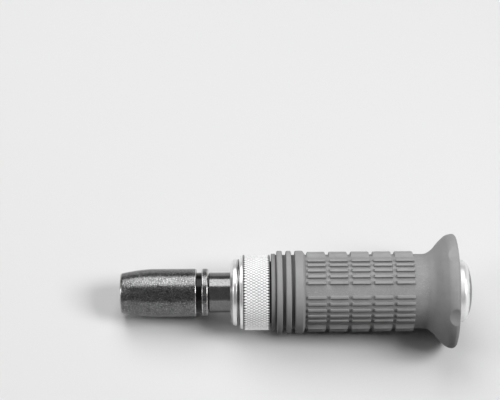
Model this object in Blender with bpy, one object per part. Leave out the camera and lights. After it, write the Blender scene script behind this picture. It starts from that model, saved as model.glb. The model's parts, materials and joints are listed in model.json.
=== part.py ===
"""Hand impact driver: rubber grip, knurled collar, square drive and a hexagon bit holder.

The tool's axis is X. The bit holder points to -X, the struck head to +X, and +Z is up.
The origin is on the axis, half way along the tool. Lengths are in metres, angles in degrees.
A blow on the head drives the barrel forward over the spindle. The cross pin then runs along
the sloping edge of a window in the cam sleeve and turns the spindle.
"""

import math

import bmesh
import bpy
from mathutils import Matrix, Vector

# Clearances shared by every fit
CLEARANCE = 0.0003          # between two pieces that touch or run on each other
OVERRUN = 0.001             # how far a cutter passes the surface it leaves by
MERGE_DISTANCE = 0.00001
SHARP_ANGLE = 32.0

# Bit holder: turned from bar, square socket behind, hexagon socket in front
HOLDER_LENGTH = 0.0402
HOLDER_RADIUS = 0.0110
HOLDER_NOSE_RADIUS = 0.0090
HOLDER_NOSE_LENGTH = 0.0145
HOLDER_NOSE_CHAMFER = 0.0006
HOLDER_EDGE_CHAMFER = 0.0006
HOLDER_GROOVE_WIDTH = 0.0025
HOLDER_GROOVE_RADIUS = 0.0092
HOLDER_FLANGE_WIDTH = 0.0028
HOLDER_NOSE_SHARES = ((0.0, 0.0), (0.27, 0.40), (0.55, 0.72), (0.8, 0.92), (1.0, 1.0))
HOLDER_SIDES = 32

# Hexagon socket for 5/16 inch bits, and the wire clip that grips the bit
HEX_ACROSS_FLATS = 0.0081
HEX_DEPTH = 0.0150
HEX_MOUTH_CHAMFER = 0.0006
HEX_CORNERS = 6
SQUARE_CORNERS = 4
CLIP_WIRE_RADIUS = 0.0006
CLIP_INNER_RADIUS = 0.0039
CLIP_STATION = 0.0060
CLIP_ARC = 300.0
CLIP_STEPS = 12
CLIP_WIRE_SIDES = 6

# Square drive and spindle
DRIVE_SQUARE = 0.0127
DRIVE_IN_SOCKET = 0.0157
DRIVE_EXPOSED = 0.0103
DRIVE_EDGE_CHAMFER = 0.0005
DRIVE_ROLL = 50.0
SOCKET_MOUTH_CHAMFER = 0.0008
JOURNAL_RADIUS = 0.0092
JOURNAL_SET_BACK = 0.0010
SHOULDER_LENGTH = 0.0040
SPINDLE_CHAMFER = 0.0006
SPINDLE_SIDES = 24

# Ball and spring that hold the bit holder on the square
BALL_RADIUS = 0.0023
BALL_FROM_TIP = 0.0081
BALL_LIP_RADIUS = 0.00205
BALL_LIP_DEPTH = 0.0003
BALL_SPRING_LENGTH = 0.0044
BALL_SPRING_WIRE_RADIUS = 0.00025
BALL_SPRING_TURNS = 4
BALL_SPRING_POINTS = 8
BALL_SIDES = 12
BALL_RINGS = 8

# Cam: window, cross pin, sleeve and its two dowels
STROKE = 0.0080
CAM_TURN = 18.0
PIN_RADIUS = 0.0030
PIN_CHAMFER = 0.0005
PIN_SIDES = 16
WINDOW_CLEARANCE = 0.0004
WINDOW_ARC_STEPS = 5
WINDOW_SIDE_STEPS = 3
SLEEVE_WALL = 0.0022
SLEEVE_WEB = 0.0041
SLEEVE_SIDES = 28
DOWEL_RADIUS = 0.00125
DOWEL_DEPTH = 0.0015
DOWEL_SIDES = 12
WINDOW_COUNT = 2

# Front bush, its seal and the lock washer behind its flange
BUSH_LENGTH = 0.0152
BUSH_FLANGE_STEP = 0.0036
BUSH_FLANGE_THICKNESS = 0.0031
BUSH_FRONT_BEVEL = 0.0013
BUSH_FRONT_DROP = 0.0023
BUSH_REAR_BEVEL = 0.0003
BUSH_BORE_CHAMFER = 0.0005
BUSH_SIDES = 32
SEAL_SECTION_RADIUS = 0.00055
SEAL_FROM_FRONT = 0.0075
SEAL_SECTION_SIDES = 6
WASHER_THICKNESS = 0.0007
WASHER_WIDTH = 0.0033

# Knurled collar
COLLAR_LENGTH = 0.01375
COLLAR_WALL = 0.0030
COLLAR_LIP_LENGTH = 0.0030
COLLAR_LIP_STEP = 0.0007
COLLAR_LIP_BAND = 0.0011
COLLAR_CHAMFER = 0.0004
KNURL_DEPTH = 0.0004
KNURL_COUNT = 36
KNURL_ROWS = 4

# Barrel
BARREL_WALL = 0.0022
BARREL_CHAMFER = 0.0004
BARREL_SIDES = 32

# Struck cap and the rolled pin that fixes it
CAP_STAND_OUT = 0.00735
CAP_SIDE = 0.0030
CAP_FLAT_RADIUS = 0.0040
CAP_HEAD_BURIED = 0.0054
CAP_PLUG_LENGTH = 0.0143
CAP_PLUG_CHAMFER = 0.0008
CAP_DOME_STEPS = 5
ROLL_PIN_RADIUS = 0.0020
ROLL_PIN_WALL = 0.0005
ROLL_PIN_SLIT = 50.0
ROLL_PIN_STEPS = 12

# Main spring, its seat on the cap and the follower on the spindle
SPRING_WIRE_RADIUS = 0.0013
SPRING_TURNS = 5
SPRING_END_TURNS = 1
SPRING_END_GAP = 0.0007
SPRING_POINTS = 10
SEAT_THICKNESS = 0.0027
SPIGOT_LENGTH = 0.0030
SPIGOT_CHAMFER = 0.0005
FOLLOWER_THICKNESS = 0.0030

# Rubber grip: front lip, three ribs, six groups of bars, flared guard with six scallops
COLLAR_GRIP_GAP = 0.00055
GRIP_LENGTH = 0.0848
GRIP_WALL = 0.0026
GRIP_LIP_WIDTH = 0.0019
GRIP_LIP_GAP = 0.00045
GRIP_LIP_HEIGHT = 0.0006
GRIP_EDGE = 0.0003
RIB_HEIGHT = 0.0019
RIB_FLANK = 0.0003
RIB_GAP = 0.0013
RIB_WIDTHS = (0.0029, 0.0028, 0.0041)
LAST_RIB_SLOPE = 0.0009
GRIP_SIDES = 36
BAR_COLUMNS = 5
BAR_LENGTH = 0.0093
BAR_PITCH = 0.01008
BAR_FROM_RIBS = 0.0003
BAR_HEIGHT = 0.00135
BAR_ROOT = 0.0008
BAR_FOOT_WIDTH = 0.0024
BAR_CROWN_WIDTH = 0.0017
BAR_FRONT_SLOPE = 0.0006
BAR_REAR_SLOPE = 0.0007
BARS_IN_GROUP = 5
BAR_ANGLE = 9.7
BAR_GROUPS = 6
GUARD_RADIUS = 0.0264
GUARD_RIM = 0.0043
GUARD_FLARE = 0.0115
GUARD_EDGE = 0.0010
GUARD_EDGE_STEPS = 2
GUARD_FLARE_SHARES = (
    (0.0, 0.0), (0.17, 0.02), (0.31, 0.11), (0.45, 0.25),
    (0.59, 0.46), (0.73, 0.68), (0.87, 0.87), (1.0, 1.0),
)
SCALLOP_COUNT = 6
SCALLOP_WIDTH = 0.0102
SCALLOP_DEPTH = 0.00075
SCALLOP_SIDES = 24
SCALLOP_RINGS = 12

# Radii that follow from the fits
bush_bore_radius = JOURNAL_RADIUS + CLEARANCE
sleeve_bore_radius = JOURNAL_RADIUS + CLEARANCE
fit_in_barrel_radius = sleeve_bore_radius + SLEEVE_WALL
barrel_bore_radius = fit_in_barrel_radius + CLEARANCE
barrel_radius = barrel_bore_radius + BARREL_WALL
bush_flange_radius = fit_in_barrel_radius + BUSH_FLANGE_STEP
washer_radius = barrel_bore_radius + WASHER_WIDTH
over_barrel_radius = barrel_radius + CLEARANCE
collar_radius = over_barrel_radius + COLLAR_WALL
grip_radius = over_barrel_radius + GRIP_WALL
spring_radius = fit_in_barrel_radius - SPRING_WIRE_RADIUS
spring_flat_radius = spring_radius * math.cos(math.pi / SPRING_POINTS)
spigot_radius = spring_flat_radius - SPRING_WIRE_RADIUS - CLEARANCE
seal_radius = JOURNAL_RADIUS + CLEARANCE + SEAL_SECTION_RADIUS
clip_radius = CLIP_INNER_RADIUS + CLIP_WIRE_RADIUS
pin_half_length = math.sqrt(fit_in_barrel_radius ** 2 - PIN_RADIUS ** 2)
socket_square = DRIVE_SQUARE + 2 * CLEARANCE
socket_depth = DRIVE_IN_SOCKET + CLEARANCE

# Stations along the axis, from the nose back to the struck face
overall_length = (
    HOLDER_LENGTH + DRIVE_EXPOSED + BUSH_FLANGE_THICKNESS + CLEARANCE + WASHER_THICKNESS
    + CLEARANCE + COLLAR_LENGTH + COLLAR_GRIP_GAP + GRIP_LENGTH + CAP_STAND_OUT
)
holder_x = -overall_length / 2
holder_rear_x = holder_x + HOLDER_LENGTH
drive_tip_x = holder_rear_x - DRIVE_IN_SOCKET
bush_x = holder_rear_x + DRIVE_EXPOSED
bush_rear_x = bush_x + BUSH_LENGTH
washer_x = bush_x + BUSH_FLANGE_THICKNESS + CLEARANCE
collar_x = washer_x + WASHER_THICKNESS + CLEARANCE
barrel_x = collar_x + COLLAR_LIP_LENGTH + CLEARANCE
grip_x = collar_x + COLLAR_LENGTH + COLLAR_GRIP_GAP
grip_rear_x = grip_x + GRIP_LENGTH
cap_head_x = grip_rear_x - CAP_HEAD_BURIED
cap_plug_x = cap_head_x - CAP_PLUG_LENGTH
barrel_length = cap_head_x - CLEARANCE - barrel_x
roll_pin_x = cap_plug_x + CAP_PLUG_LENGTH / 2
journal_x = bush_x + JOURNAL_SET_BACK
shoulder_x = bush_rear_x + CLEARANCE
sleeve_x = shoulder_x + SHOULDER_LENGTH + STROKE + CLEARANCE
window_radius = PIN_RADIUS + WINDOW_CLEARANCE
pin_x = sleeve_x + SLEEVE_WEB + window_radius
sleeve_length = 2 * SLEEVE_WEB + 2 * window_radius + STROKE
dowel_x = sleeve_x + sleeve_length - SLEEVE_WEB / 2
spindle_rear_x = sleeve_x + sleeve_length + CLEARANCE
follower_x = spindle_rear_x + CLEARANCE
spring_x = follower_x + FOLLOWER_THICKNESS + CLEARANCE
seat_x = cap_plug_x - CLEARANCE - SEAT_THICKNESS
spring_length = seat_x - CLEARANCE - spring_x
ball_x = drive_tip_x + BALL_FROM_TIP

# Stations on the grip, from its front face
first_rib_x = GRIP_LIP_WIDTH + GRIP_LIP_GAP
ribs_rear_x = first_rib_x + sum(RIB_WIDTHS) + (len(RIB_WIDTHS) - 1) * RIB_GAP
first_bar_x = ribs_rear_x + LAST_RIB_SLOPE + BAR_FROM_RIBS


def material(name, colour, roughness, metallic):
    """A Principled material for one piece."""
    made = bpy.data.materials.new(name)
    made.use_nodes = True
    shader = made.node_tree.nodes["Principled BSDF"]
    shader.inputs["Base Color"].default_value = (*colour, 1.0)
    shader.inputs["Roughness"].default_value = roughness
    shader.inputs["Metallic"].default_value = metallic
    made.diffuse_color = (*colour, 1.0)
    return made


def black_steel(name):
    return material(name, (0.05, 0.05, 0.055), 0.38, 0.9)


def bright_steel(name):
    return material(name, (0.62, 0.62, 0.63), 0.28, 1.0)


def chrome(name):
    return material(name, (0.80, 0.80, 0.81), 0.12, 1.0)


def rubber(name, grey):
    return material(name, (grey, grey, grey), 0.62, 0.0)


def assembly_empty(name, parent=None):
    """An empty on the tool's axis that carries the pieces of one moving group."""
    empty = bpy.data.objects.new(name, None)
    bpy.context.scene.collection.objects.link(empty)
    empty.parent = parent
    return empty


def finished(name, bm, made_of=None, x=0.0, roll=0.0, parent=None):
    """Turns a bmesh into an object at station x, rolled about the tool's axis."""
    bmesh.ops.remove_doubles(bm, verts=bm.verts, dist=MERGE_DISTANCE)
    bmesh.ops.recalc_face_normals(bm, faces=bm.faces)
    mesh = bpy.data.meshes.new(name)
    bm.to_mesh(mesh)
    bm.free()
    mesh.shade_smooth()
    mesh.set_sharp_from_angle(angle=math.radians(SHARP_ANGLE))
    piece = bpy.data.objects.new(name, mesh)
    bpy.context.scene.collection.objects.link(piece)
    piece.location.x = x
    piece.rotation_euler.x = math.radians(roll)
    piece.parent = parent
    if made_of:
        mesh.materials.append(made_of)
    return piece


def cutter(name, bm, x=0.0, roll=0.0):
    """A hidden body that shapes another piece."""
    body = finished(name, bm, x=x, roll=roll)
    body.hide_render = True
    body.display_type = "WIRE"
    return body


def shape_with(piece, other, operation):
    """Cuts or joins a piece with a hidden body."""
    boolean = piece.modifiers.new(operation.lower() + "_" + other.name, "BOOLEAN")
    boolean.operation = operation
    boolean.solver = "EXACT"
    boolean.object = other


def turned(bm, profile, sides, closed=False):
    """Spins a profile of (station, radius) points about the axis.

    An open profile starts and ends on the axis and makes a solid. A closed one makes a ring.
    """
    points = [bm.verts.new((x, 0.0, radius)) for x, radius in profile]
    edges = [bm.edges.new(pair) for pair in zip(points, points[1:])]
    if closed:
        edges.append(bm.edges.new((points[-1], points[0])))
    bmesh.ops.spin(
        bm, geom=points + edges, cent=(0, 0, 0), axis=(1, 0, 0),
        angle=math.tau, steps=sides, use_merge=True,
    )
    bmesh.ops.remove_doubles(bm, verts=bm.verts, dist=MERGE_DISTANCE)
    poles = [v for v in bm.verts if math.hypot(v.co.y, v.co.z) < MERGE_DISTANCE]
    bmesh.ops.dissolve_verts(bm, verts=poles)


def rod(bm, radius, length, sides, chamfer=0.0):
    """A solid rod that starts at station zero, with its ends chamfered."""
    profile = [
        (0.0, 0.0), (0.0, radius - chamfer), (chamfer, radius),
        (length - chamfer, radius), (length, radius - chamfer), (length, 0.0),
    ]
    turned(bm, profile, sides)


def prism(bm, across_flats, length, corners):
    """A bar of regular section along X, with a flat on top, that starts at station zero."""
    half_flat = across_flats / 2
    corner = half_flat / math.cos(math.pi / corners)
    bmesh.ops.create_cone(
        bm, cap_ends=True, segments=corners, radius1=corner, radius2=corner, depth=length,
    )
    turn_to_flat = Matrix.Rotation(math.pi / corners, 4, "Z")
    lay_down = Matrix.Rotation(math.pi / 2, 4, "Y")
    bm.transform(Matrix.Translation((length / 2, 0, 0)) @ lay_down @ turn_to_flat)


def radial_rod(bm, radius, inner, outer, sides):
    """A rod that stands on the axis along +Z, from height inner to height outer."""
    bmesh.ops.create_cone(
        bm, cap_ends=True, segments=sides, radius1=radius, radius2=radius,
        depth=outer - inner,
    )
    bm.transform(Matrix.Translation((0, 0, (inner + outer) / 2)))


def square_section(bm, x, half, chamfer=0.0):
    """Points round a square at station x, with its corners chamfered if need be."""
    near = half - chamfer
    corners = [
        (half, -near), (half, near), (near, half), (-near, half),
        (-half, near), (-half, -near), (-near, -half), (near, -half),
    ]
    return [bm.verts.new((x, y, z)) for y, z in dict.fromkeys(corners)]


def bridge(bm, loops):
    """Skins a row of loops that have like points, and closes both ends."""
    bm.faces.new(loops[0])
    bm.faces.new(loops[-1][::-1])
    for near, far in zip(loops, loops[1:]):
        for i, point in enumerate(near):
            j = (i + 1) % len(near)
            bm.faces.new((point, near[j], far[j], far[i]))


def helix_points(radius, length, turns, steps, end_turns, end_pitch):
    """Centre line of a compression spring along X, with closer turns at both ends."""
    pitch = (length - 2 * end_turns * end_pitch) / (turns - 2 * end_turns)
    points = []
    for step in range(turns * steps + 1):
        turn = step / steps
        in_front = min(turn, end_turns)
        behind = max(turn - (turns - end_turns), 0.0)
        x = (in_front + behind) * end_pitch + (turn - in_front - behind) * pitch
        angle = math.tau * turn
        points.append(Vector((x, radius * math.sin(angle), radius * math.cos(angle))))
    return points


def least_gap(points, wire_radius, steps):
    """Least space between two turns of a spring, measured on its points."""
    nearest = min(
        (a - b).length
        for i, a in enumerate(points)
        for b in points[i + steps // 2:]
    )
    return nearest - 2 * wire_radius


def spring_wire(name, points, steps, wire_radius, resolution, made_of, parent):
    """A round wire along the turns of a spring, closed at both ends."""
    gap = least_gap(points, wire_radius, steps)
    print(f"{name}: least gap between turns {gap:.5f} m")
    curve = bpy.data.curves.new(name, "CURVE")
    curve.dimensions = "3D"
    curve.bevel_depth = wire_radius
    curve.bevel_resolution = resolution
    curve.use_fill_caps = True
    spline = curve.splines.new("POLY")
    spline.points.add(len(points) - 1)
    for target, point in zip(spline.points, points):
        target.co = (*point, 1.0)
    curve.materials.append(made_of)
    piece = bpy.data.objects.new(name, curve)
    bpy.context.scene.collection.objects.link(piece)
    piece.parent = parent
    return piece


def make_bit_holder(parent):
    """Tapered nose, plain body, retaining groove and rear flange, bored for bit and drive."""
    rise = HOLDER_RADIUS - HOLDER_NOSE_RADIUS
    edge = HOLDER_EDGE_CHAMFER
    groove_front = HOLDER_LENGTH - HOLDER_FLANGE_WIDTH - HOLDER_GROOVE_WIDTH
    flange_front = HOLDER_LENGTH - HOLDER_FLANGE_WIDTH
    taper = HOLDER_NOSE_LENGTH - HOLDER_NOSE_CHAMFER
    profile = [(0.0, 0.0), (0.0, HOLDER_NOSE_RADIUS - HOLDER_NOSE_CHAMFER)]
    profile += [
        (HOLDER_NOSE_CHAMFER + along * taper, HOLDER_NOSE_RADIUS + up * rise)
        for along, up in HOLDER_NOSE_SHARES
    ]
    profile += [
        (groove_front - edge, HOLDER_RADIUS),
        (groove_front, HOLDER_RADIUS - edge),
        (groove_front, HOLDER_GROOVE_RADIUS),
        (flange_front, HOLDER_GROOVE_RADIUS),
        (flange_front, HOLDER_RADIUS - edge),
        (flange_front + edge, HOLDER_RADIUS),
        (HOLDER_LENGTH - edge, HOLDER_RADIUS),
        (HOLDER_LENGTH, HOLDER_RADIUS - edge),
        (HOLDER_LENGTH, 0.0),
    ]
    bm = bmesh.new()
    turned(bm, profile, HOLDER_SIDES)
    holder = finished("bit_holder", bm, black_steel("holder_steel"), holder_x, 0.0, parent)

    bm = bmesh.new()
    prism(bm, HEX_ACROSS_FLATS, HEX_DEPTH + OVERRUN, HEX_CORNERS)
    shape_with(holder, cutter("hex_socket_cut", bm, holder_x - OVERRUN), "DIFFERENCE")

    hex_corner = HEX_ACROSS_FLATS / 2 / math.cos(math.pi / HEX_CORNERS)
    mouth = hex_corner + HEX_MOUTH_CHAMFER
    bm = bmesh.new()
    turned(bm, [(-OVERRUN, 0.0), (-OVERRUN, mouth + OVERRUN), (mouth, 0.0)], HOLDER_SIDES)
    shape_with(holder, cutter("hex_mouth_cut", bm, holder_x), "DIFFERENCE")

    groove_radius = clip_radius + CLIP_WIRE_RADIUS + CLEARANCE
    groove_half = CLIP_WIRE_RADIUS + CLEARANCE
    bm = bmesh.new()
    rod(bm, groove_radius, 2 * groove_half, HOLDER_SIDES)
    groove_x = holder_x + CLIP_STATION - groove_half
    shape_with(holder, cutter("clip_groove_cut", bm, groove_x), "DIFFERENCE")

    bm = bmesh.new()
    prism(bm, socket_square, socket_depth + OVERRUN, SQUARE_CORNERS)
    square_x = holder_rear_x - socket_depth
    shape_with(holder, cutter("square_socket_cut", bm, square_x, DRIVE_ROLL), "DIFFERENCE")

    narrow = socket_square / 2
    deep = SOCKET_MOUTH_CHAMFER + OVERRUN
    bm = bmesh.new()
    bridge(bm, [square_section(bm, 0.0, narrow), square_section(bm, deep, narrow + deep)])
    mouth_x = holder_rear_x - SOCKET_MOUTH_CHAMFER
    shape_with(holder, cutter("square_mouth_cut", bm, mouth_x, DRIVE_ROLL), "DIFFERENCE")


def make_bit_clip(parent):
    """Open wire ring in a groove of the hexagon socket."""
    bm = bmesh.new()
    section = [
        bm.verts.new((
            CLIP_WIRE_RADIUS * math.sin(math.tau * step / CLIP_WIRE_SIDES), 0.0,
            clip_radius + CLIP_WIRE_RADIUS * math.cos(math.tau * step / CLIP_WIRE_SIDES),
        ))
        for step in range(CLIP_WIRE_SIDES)
    ]
    bmesh.ops.spin(
        bm, geom=[bm.faces.new(section)], cent=(0, 0, 0), axis=(1, 0, 0),
        angle=math.radians(CLIP_ARC), steps=CLIP_STEPS,
    )
    finished("bit_clip", bm, bright_steel("clip_steel"), holder_x + CLIP_STATION, 0.0, parent)


def make_spindle(parent):
    """Square drive, journal, stop shoulder and cam body in one forging."""
    edge = SPINDLE_CHAMFER
    shoulder_front = shoulder_x - journal_x
    shoulder_rear = shoulder_front + SHOULDER_LENGTH
    rear = spindle_rear_x - journal_x
    profile = [
        (0.0, 0.0),
        (0.0, JOURNAL_RADIUS - edge),
        (edge, JOURNAL_RADIUS),
        (shoulder_front, JOURNAL_RADIUS),
        (shoulder_front, fit_in_barrel_radius - edge),
        (shoulder_front + edge, fit_in_barrel_radius),
        (shoulder_rear - edge, fit_in_barrel_radius),
        (shoulder_rear, fit_in_barrel_radius - edge),
        (shoulder_rear, JOURNAL_RADIUS),
        (rear - edge, JOURNAL_RADIUS),
        (rear, JOURNAL_RADIUS - edge),
        (rear, 0.0),
    ]
    bm = bmesh.new()
    turned(bm, profile, SPINDLE_SIDES)
    spindle = finished("spindle", bm, bright_steel("spindle_steel"), journal_x, 0.0, parent)

    square_length = journal_x + SHOULDER_LENGTH - drive_tip_x
    half = DRIVE_SQUARE / 2
    sections = (
        (0.0, half - DRIVE_EDGE_CHAMFER), (DRIVE_EDGE_CHAMFER, half), (square_length, half),
    )
    bm = bmesh.new()
    loops = [square_section(bm, x, size, DRIVE_EDGE_CHAMFER) for x, size in sections]
    bridge(bm, loops)
    shape_with(spindle, cutter("square_drive", bm, drive_tip_x, DRIVE_ROLL), "UNION")

    bm = bmesh.new()
    reach = JOURNAL_RADIUS + OVERRUN
    radial_rod(bm, PIN_RADIUS + CLEARANCE, -reach, reach, PIN_SIDES)
    shape_with(spindle, cutter("pin_hole_cut", bm, pin_x, -CAM_TURN), "DIFFERENCE")

    face = DRIVE_SQUARE / 2
    bore = BALL_RADIUS + CLEARANCE
    bottom = face - 2 * BALL_RADIUS - BALL_SPRING_LENGTH - 2 * CLEARANCE
    bm = bmesh.new()
    radial_rod(bm, bore, bottom, face - BALL_LIP_DEPTH, BALL_SIDES)
    shape_with(spindle, cutter("ball_bore_cut", bm, ball_x, DRIVE_ROLL), "DIFFERENCE")
    bm = bmesh.new()
    radial_rod(bm, BALL_LIP_RADIUS, 0.0, face + OVERRUN, BALL_SIDES)
    shape_with(spindle, cutter("ball_lip_cut", bm, ball_x, DRIVE_ROLL), "DIFFERENCE")


def make_detent_ball(parent):
    """Steel ball, flush with one flat of the square while the holder covers it."""
    bm = bmesh.new()
    bmesh.ops.create_uvsphere(
        bm, u_segments=BALL_SIDES, v_segments=BALL_RINGS, radius=BALL_RADIUS,
    )
    bm.transform(Matrix.Translation((0, 0, DRIVE_SQUARE / 2 - BALL_RADIUS)))
    finished("detent_ball", bm, chrome("ball_steel"), ball_x, DRIVE_ROLL, parent)


def make_detent_spring(parent):
    """Small spring under the ball, in the same blind hole."""
    wire_radius = BALL_SPRING_WIRE_RADIUS
    points = helix_points(
        BALL_RADIUS - 2 * wire_radius, BALL_SPRING_LENGTH - 2 * wire_radius,
        BALL_SPRING_TURNS, BALL_SPRING_POINTS, 0, 0.0,
    )
    top = DRIVE_SQUARE / 2 - 2 * BALL_RADIUS - CLEARANCE - wire_radius
    stand_up = Matrix.Rotation(math.pi / 2, 4, "Y")
    points = [Matrix.Translation((0, 0, top)) @ stand_up @ point for point in points]
    spring = spring_wire(
        "detent_spring", points, BALL_SPRING_POINTS, wire_radius, 0,
        bright_steel("detent_wire"), parent,
    )
    spring.location.x = ball_x
    spring.rotation_euler.x = math.radians(DRIVE_ROLL)


def make_cross_pin(parent):
    """Pin through the spindle, whose two ends run in the cam windows."""
    bm = bmesh.new()
    rod(bm, PIN_RADIUS, 2 * pin_half_length, PIN_SIDES, PIN_CHAMFER)
    stand_up = Matrix.Rotation(-math.pi / 2, 4, "Y")
    bm.transform(stand_up @ Matrix.Translation((-pin_half_length, 0, 0)))
    finished("cross_pin", bm, bright_steel("pin_steel"), pin_x, -CAM_TURN, parent)


def window_outline():
    """Closed outline of a cam window as (station, arc) points at the sleeve's bore.

    It goes round three positions of the pin: the two front corners, one for each way of
    turning, and the apex behind them, where the stroke ends.
    """
    side = sleeve_bore_radius * math.radians(CAM_TURN)
    lean = math.atan2(STROKE, side)
    corners = (
        ((0.0, -side), math.pi, 2 * math.pi - lean),
        ((STROKE, 0.0), -lean, lean),
        ((0.0, side), lean, math.pi),
    )
    arcs = []
    for (x, across), start, end in corners:
        arc = []
        for step in range(WINDOW_ARC_STEPS + 1):
            angle = start + (end - start) * step / WINDOW_ARC_STEPS
            arc.append((x + window_radius * math.cos(angle),
                        across + window_radius * math.sin(angle)))
        arcs.append(arc)
    outline = []
    for arc, following in zip(arcs, arcs[1:] + arcs[:1]):
        outline += arc
        for step in range(1, WINDOW_SIDE_STEPS):
            share = step / WINDOW_SIDE_STEPS
            outline.append(tuple(
                here + (there - here) * share for here, there in zip(arc[-1], following[0])
            ))
    return outline


def make_cam_sleeve(parent):
    """Hardened sleeve with two windows that taper backwards to an apex."""
    length = sleeve_length
    edge = SPINDLE_CHAMFER
    profile = [
        (0.0, sleeve_bore_radius), (0.0, fit_in_barrel_radius - edge),
        (edge, fit_in_barrel_radius), (length - edge, fit_in_barrel_radius),
        (length, fit_in_barrel_radius - edge), (length, sleeve_bore_radius),
    ]
    bm = bmesh.new()
    turned(bm, profile, SLEEVE_SIDES, closed=True)
    sleeve = finished("cam_sleeve", bm, bright_steel("cam_steel"), sleeve_x, 0.0, parent)

    outline = window_outline()
    widest = max(abs(across) for _, across in outline) / sleeve_bore_radius
    inner = sleeve_bore_radius - OVERRUN
    outer = (fit_in_barrel_radius + OVERRUN) / math.cos(widest)
    for window in range(WINDOW_COUNT):
        bm = bmesh.new()
        bridge(bm, [
            [
                bm.verts.new((
                    x, -radius * math.sin(across / sleeve_bore_radius),
                    radius * math.cos(across / sleeve_bore_radius),
                ))
                for x, across in outline
            ]
            for radius in (inner, outer)
        ])
        name = f"window_cut_{window + 1}"
        roll = window * 360.0 / WINDOW_COUNT
        shape_with(sleeve, cutter(name, bm, pin_x, roll), "DIFFERENCE")

    for side in range(WINDOW_COUNT):
        bm = bmesh.new()
        radial_rod(
            bm, DOWEL_RADIUS + CLEARANCE, dowel_bottom() - CLEARANCE,
            fit_in_barrel_radius + OVERRUN, DOWEL_SIDES,
        )
        hole = cutter(f"sleeve_dowel_cut_{side + 1}", bm, dowel_x, dowel_roll(side))
        shape_with(sleeve, hole, "DIFFERENCE")


def dowel_bottom():
    """Height of a dowel's inner end, in the sleeve's wall."""
    return fit_in_barrel_radius - DOWEL_DEPTH


def dowel_roll(side):
    """Roll of a dowel: half way between the two windows."""
    return (side + 0.5) * 360.0 / WINDOW_COUNT


def make_cam_dowels(parent):
    """Two dowels that fix the cam sleeve in the barrel."""
    for side in range(WINDOW_COUNT):
        bm = bmesh.new()
        top = barrel_radius - CLEARANCE
        radial_rod(bm, DOWEL_RADIUS, dowel_bottom(), top, DOWEL_SIDES)
        name = f"cam_dowel_{side + 1}"
        steel = bright_steel(f"dowel_steel_{side + 1}")
        finished(name, bm, steel, dowel_x, dowel_roll(side), parent)


def make_barrel(parent):
    """Steel tube that holds the mechanism and carries the grip."""
    edge = BARREL_CHAMFER
    profile = [
        (0.0, barrel_bore_radius), (0.0, barrel_radius - edge), (edge, barrel_radius),
        (barrel_length - edge, barrel_radius), (barrel_length, barrel_radius - edge),
        (barrel_length, barrel_bore_radius),
    ]
    bm = bmesh.new()
    turned(bm, profile, BARREL_SIDES, closed=True)
    barrel = finished("barrel", bm, bright_steel("barrel_steel"), barrel_x, 0.0, parent)
    for side in range(WINDOW_COUNT):
        bm = bmesh.new()
        radial_rod(
            bm, DOWEL_RADIUS + CLEARANCE, barrel_bore_radius - OVERRUN,
            barrel_radius + OVERRUN, DOWEL_SIDES,
        )
        hole = cutter(f"barrel_dowel_cut_{side + 1}", bm, dowel_x, dowel_roll(side))
        shape_with(barrel, hole, "DIFFERENCE")
    shape_with(barrel, bpy.data.objects["roll_pin_cut"], "DIFFERENCE")


def make_strike_cap(parent):
    """Plug in the rear of the barrel with a domed head that takes the blows."""
    head_radius = barrel_radius
    head_front = CAP_PLUG_LENGTH
    side_rear = head_front + CAP_HEAD_BURIED + CAP_SIDE
    top = head_front + CAP_HEAD_BURIED + CAP_STAND_OUT
    # The dome is half an ellipse, cut off by the struck flat
    last = math.acos(CAP_FLAT_RADIUS / head_radius)
    rise = (top - side_rear) / math.sin(last)
    profile = [
        (0.0, 0.0),
        (0.0, fit_in_barrel_radius - CAP_PLUG_CHAMFER),
        (CAP_PLUG_CHAMFER, fit_in_barrel_radius),
        (head_front, fit_in_barrel_radius),
        (head_front, head_radius),
    ]
    for step in range(CAP_DOME_STEPS + 1):
        angle = last * step / CAP_DOME_STEPS
        profile.append((side_rear + rise * math.sin(angle), head_radius * math.cos(angle)))
    profile.append((top, 0.0))
    bm = bmesh.new()
    turned(bm, profile, BARREL_SIDES)
    cap = finished("strike_cap", bm, chrome("cap_chrome"), cap_plug_x, 0.0, parent)

    reach = barrel_radius + OVERRUN
    bm = bmesh.new()
    radial_rod(bm, ROLL_PIN_RADIUS + CLEARANCE, -reach, reach, PIN_SIDES)
    shape_with(cap, cutter("roll_pin_cut", bm, roll_pin_x), "DIFFERENCE")


def make_cap_roll_pin(parent):
    """Rolled spring pin through barrel and cap: a tube with a slit along it."""
    half = barrel_radius - CLEARANCE
    start = math.radians(ROLL_PIN_SLIT / 2)
    sweep = 2 * math.pi - 2 * start
    section = []
    for radius, way in ((ROLL_PIN_RADIUS, 1), (ROLL_PIN_RADIUS - ROLL_PIN_WALL, -1)):
        for step in range(ROLL_PIN_STEPS + 1):
            share = step / ROLL_PIN_STEPS
            angle = start + sweep * (share if way > 0 else 1 - share)
            section.append((radius * math.cos(angle), radius * math.sin(angle)))
    bm = bmesh.new()
    bottom = bm.faces.new([bm.verts.new((x, y, -half)) for x, y in section])
    grown = bmesh.ops.extrude_face_region(bm, geom=[bottom])
    lifted = [v for v in grown["geom"] if isinstance(v, bmesh.types.BMVert)]
    bmesh.ops.translate(bm, verts=lifted, vec=(0, 0, 2 * half))
    finished("cap_roll_pin", bm, bright_steel("roll_pin_steel"), roll_pin_x, 0.0, parent)


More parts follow.
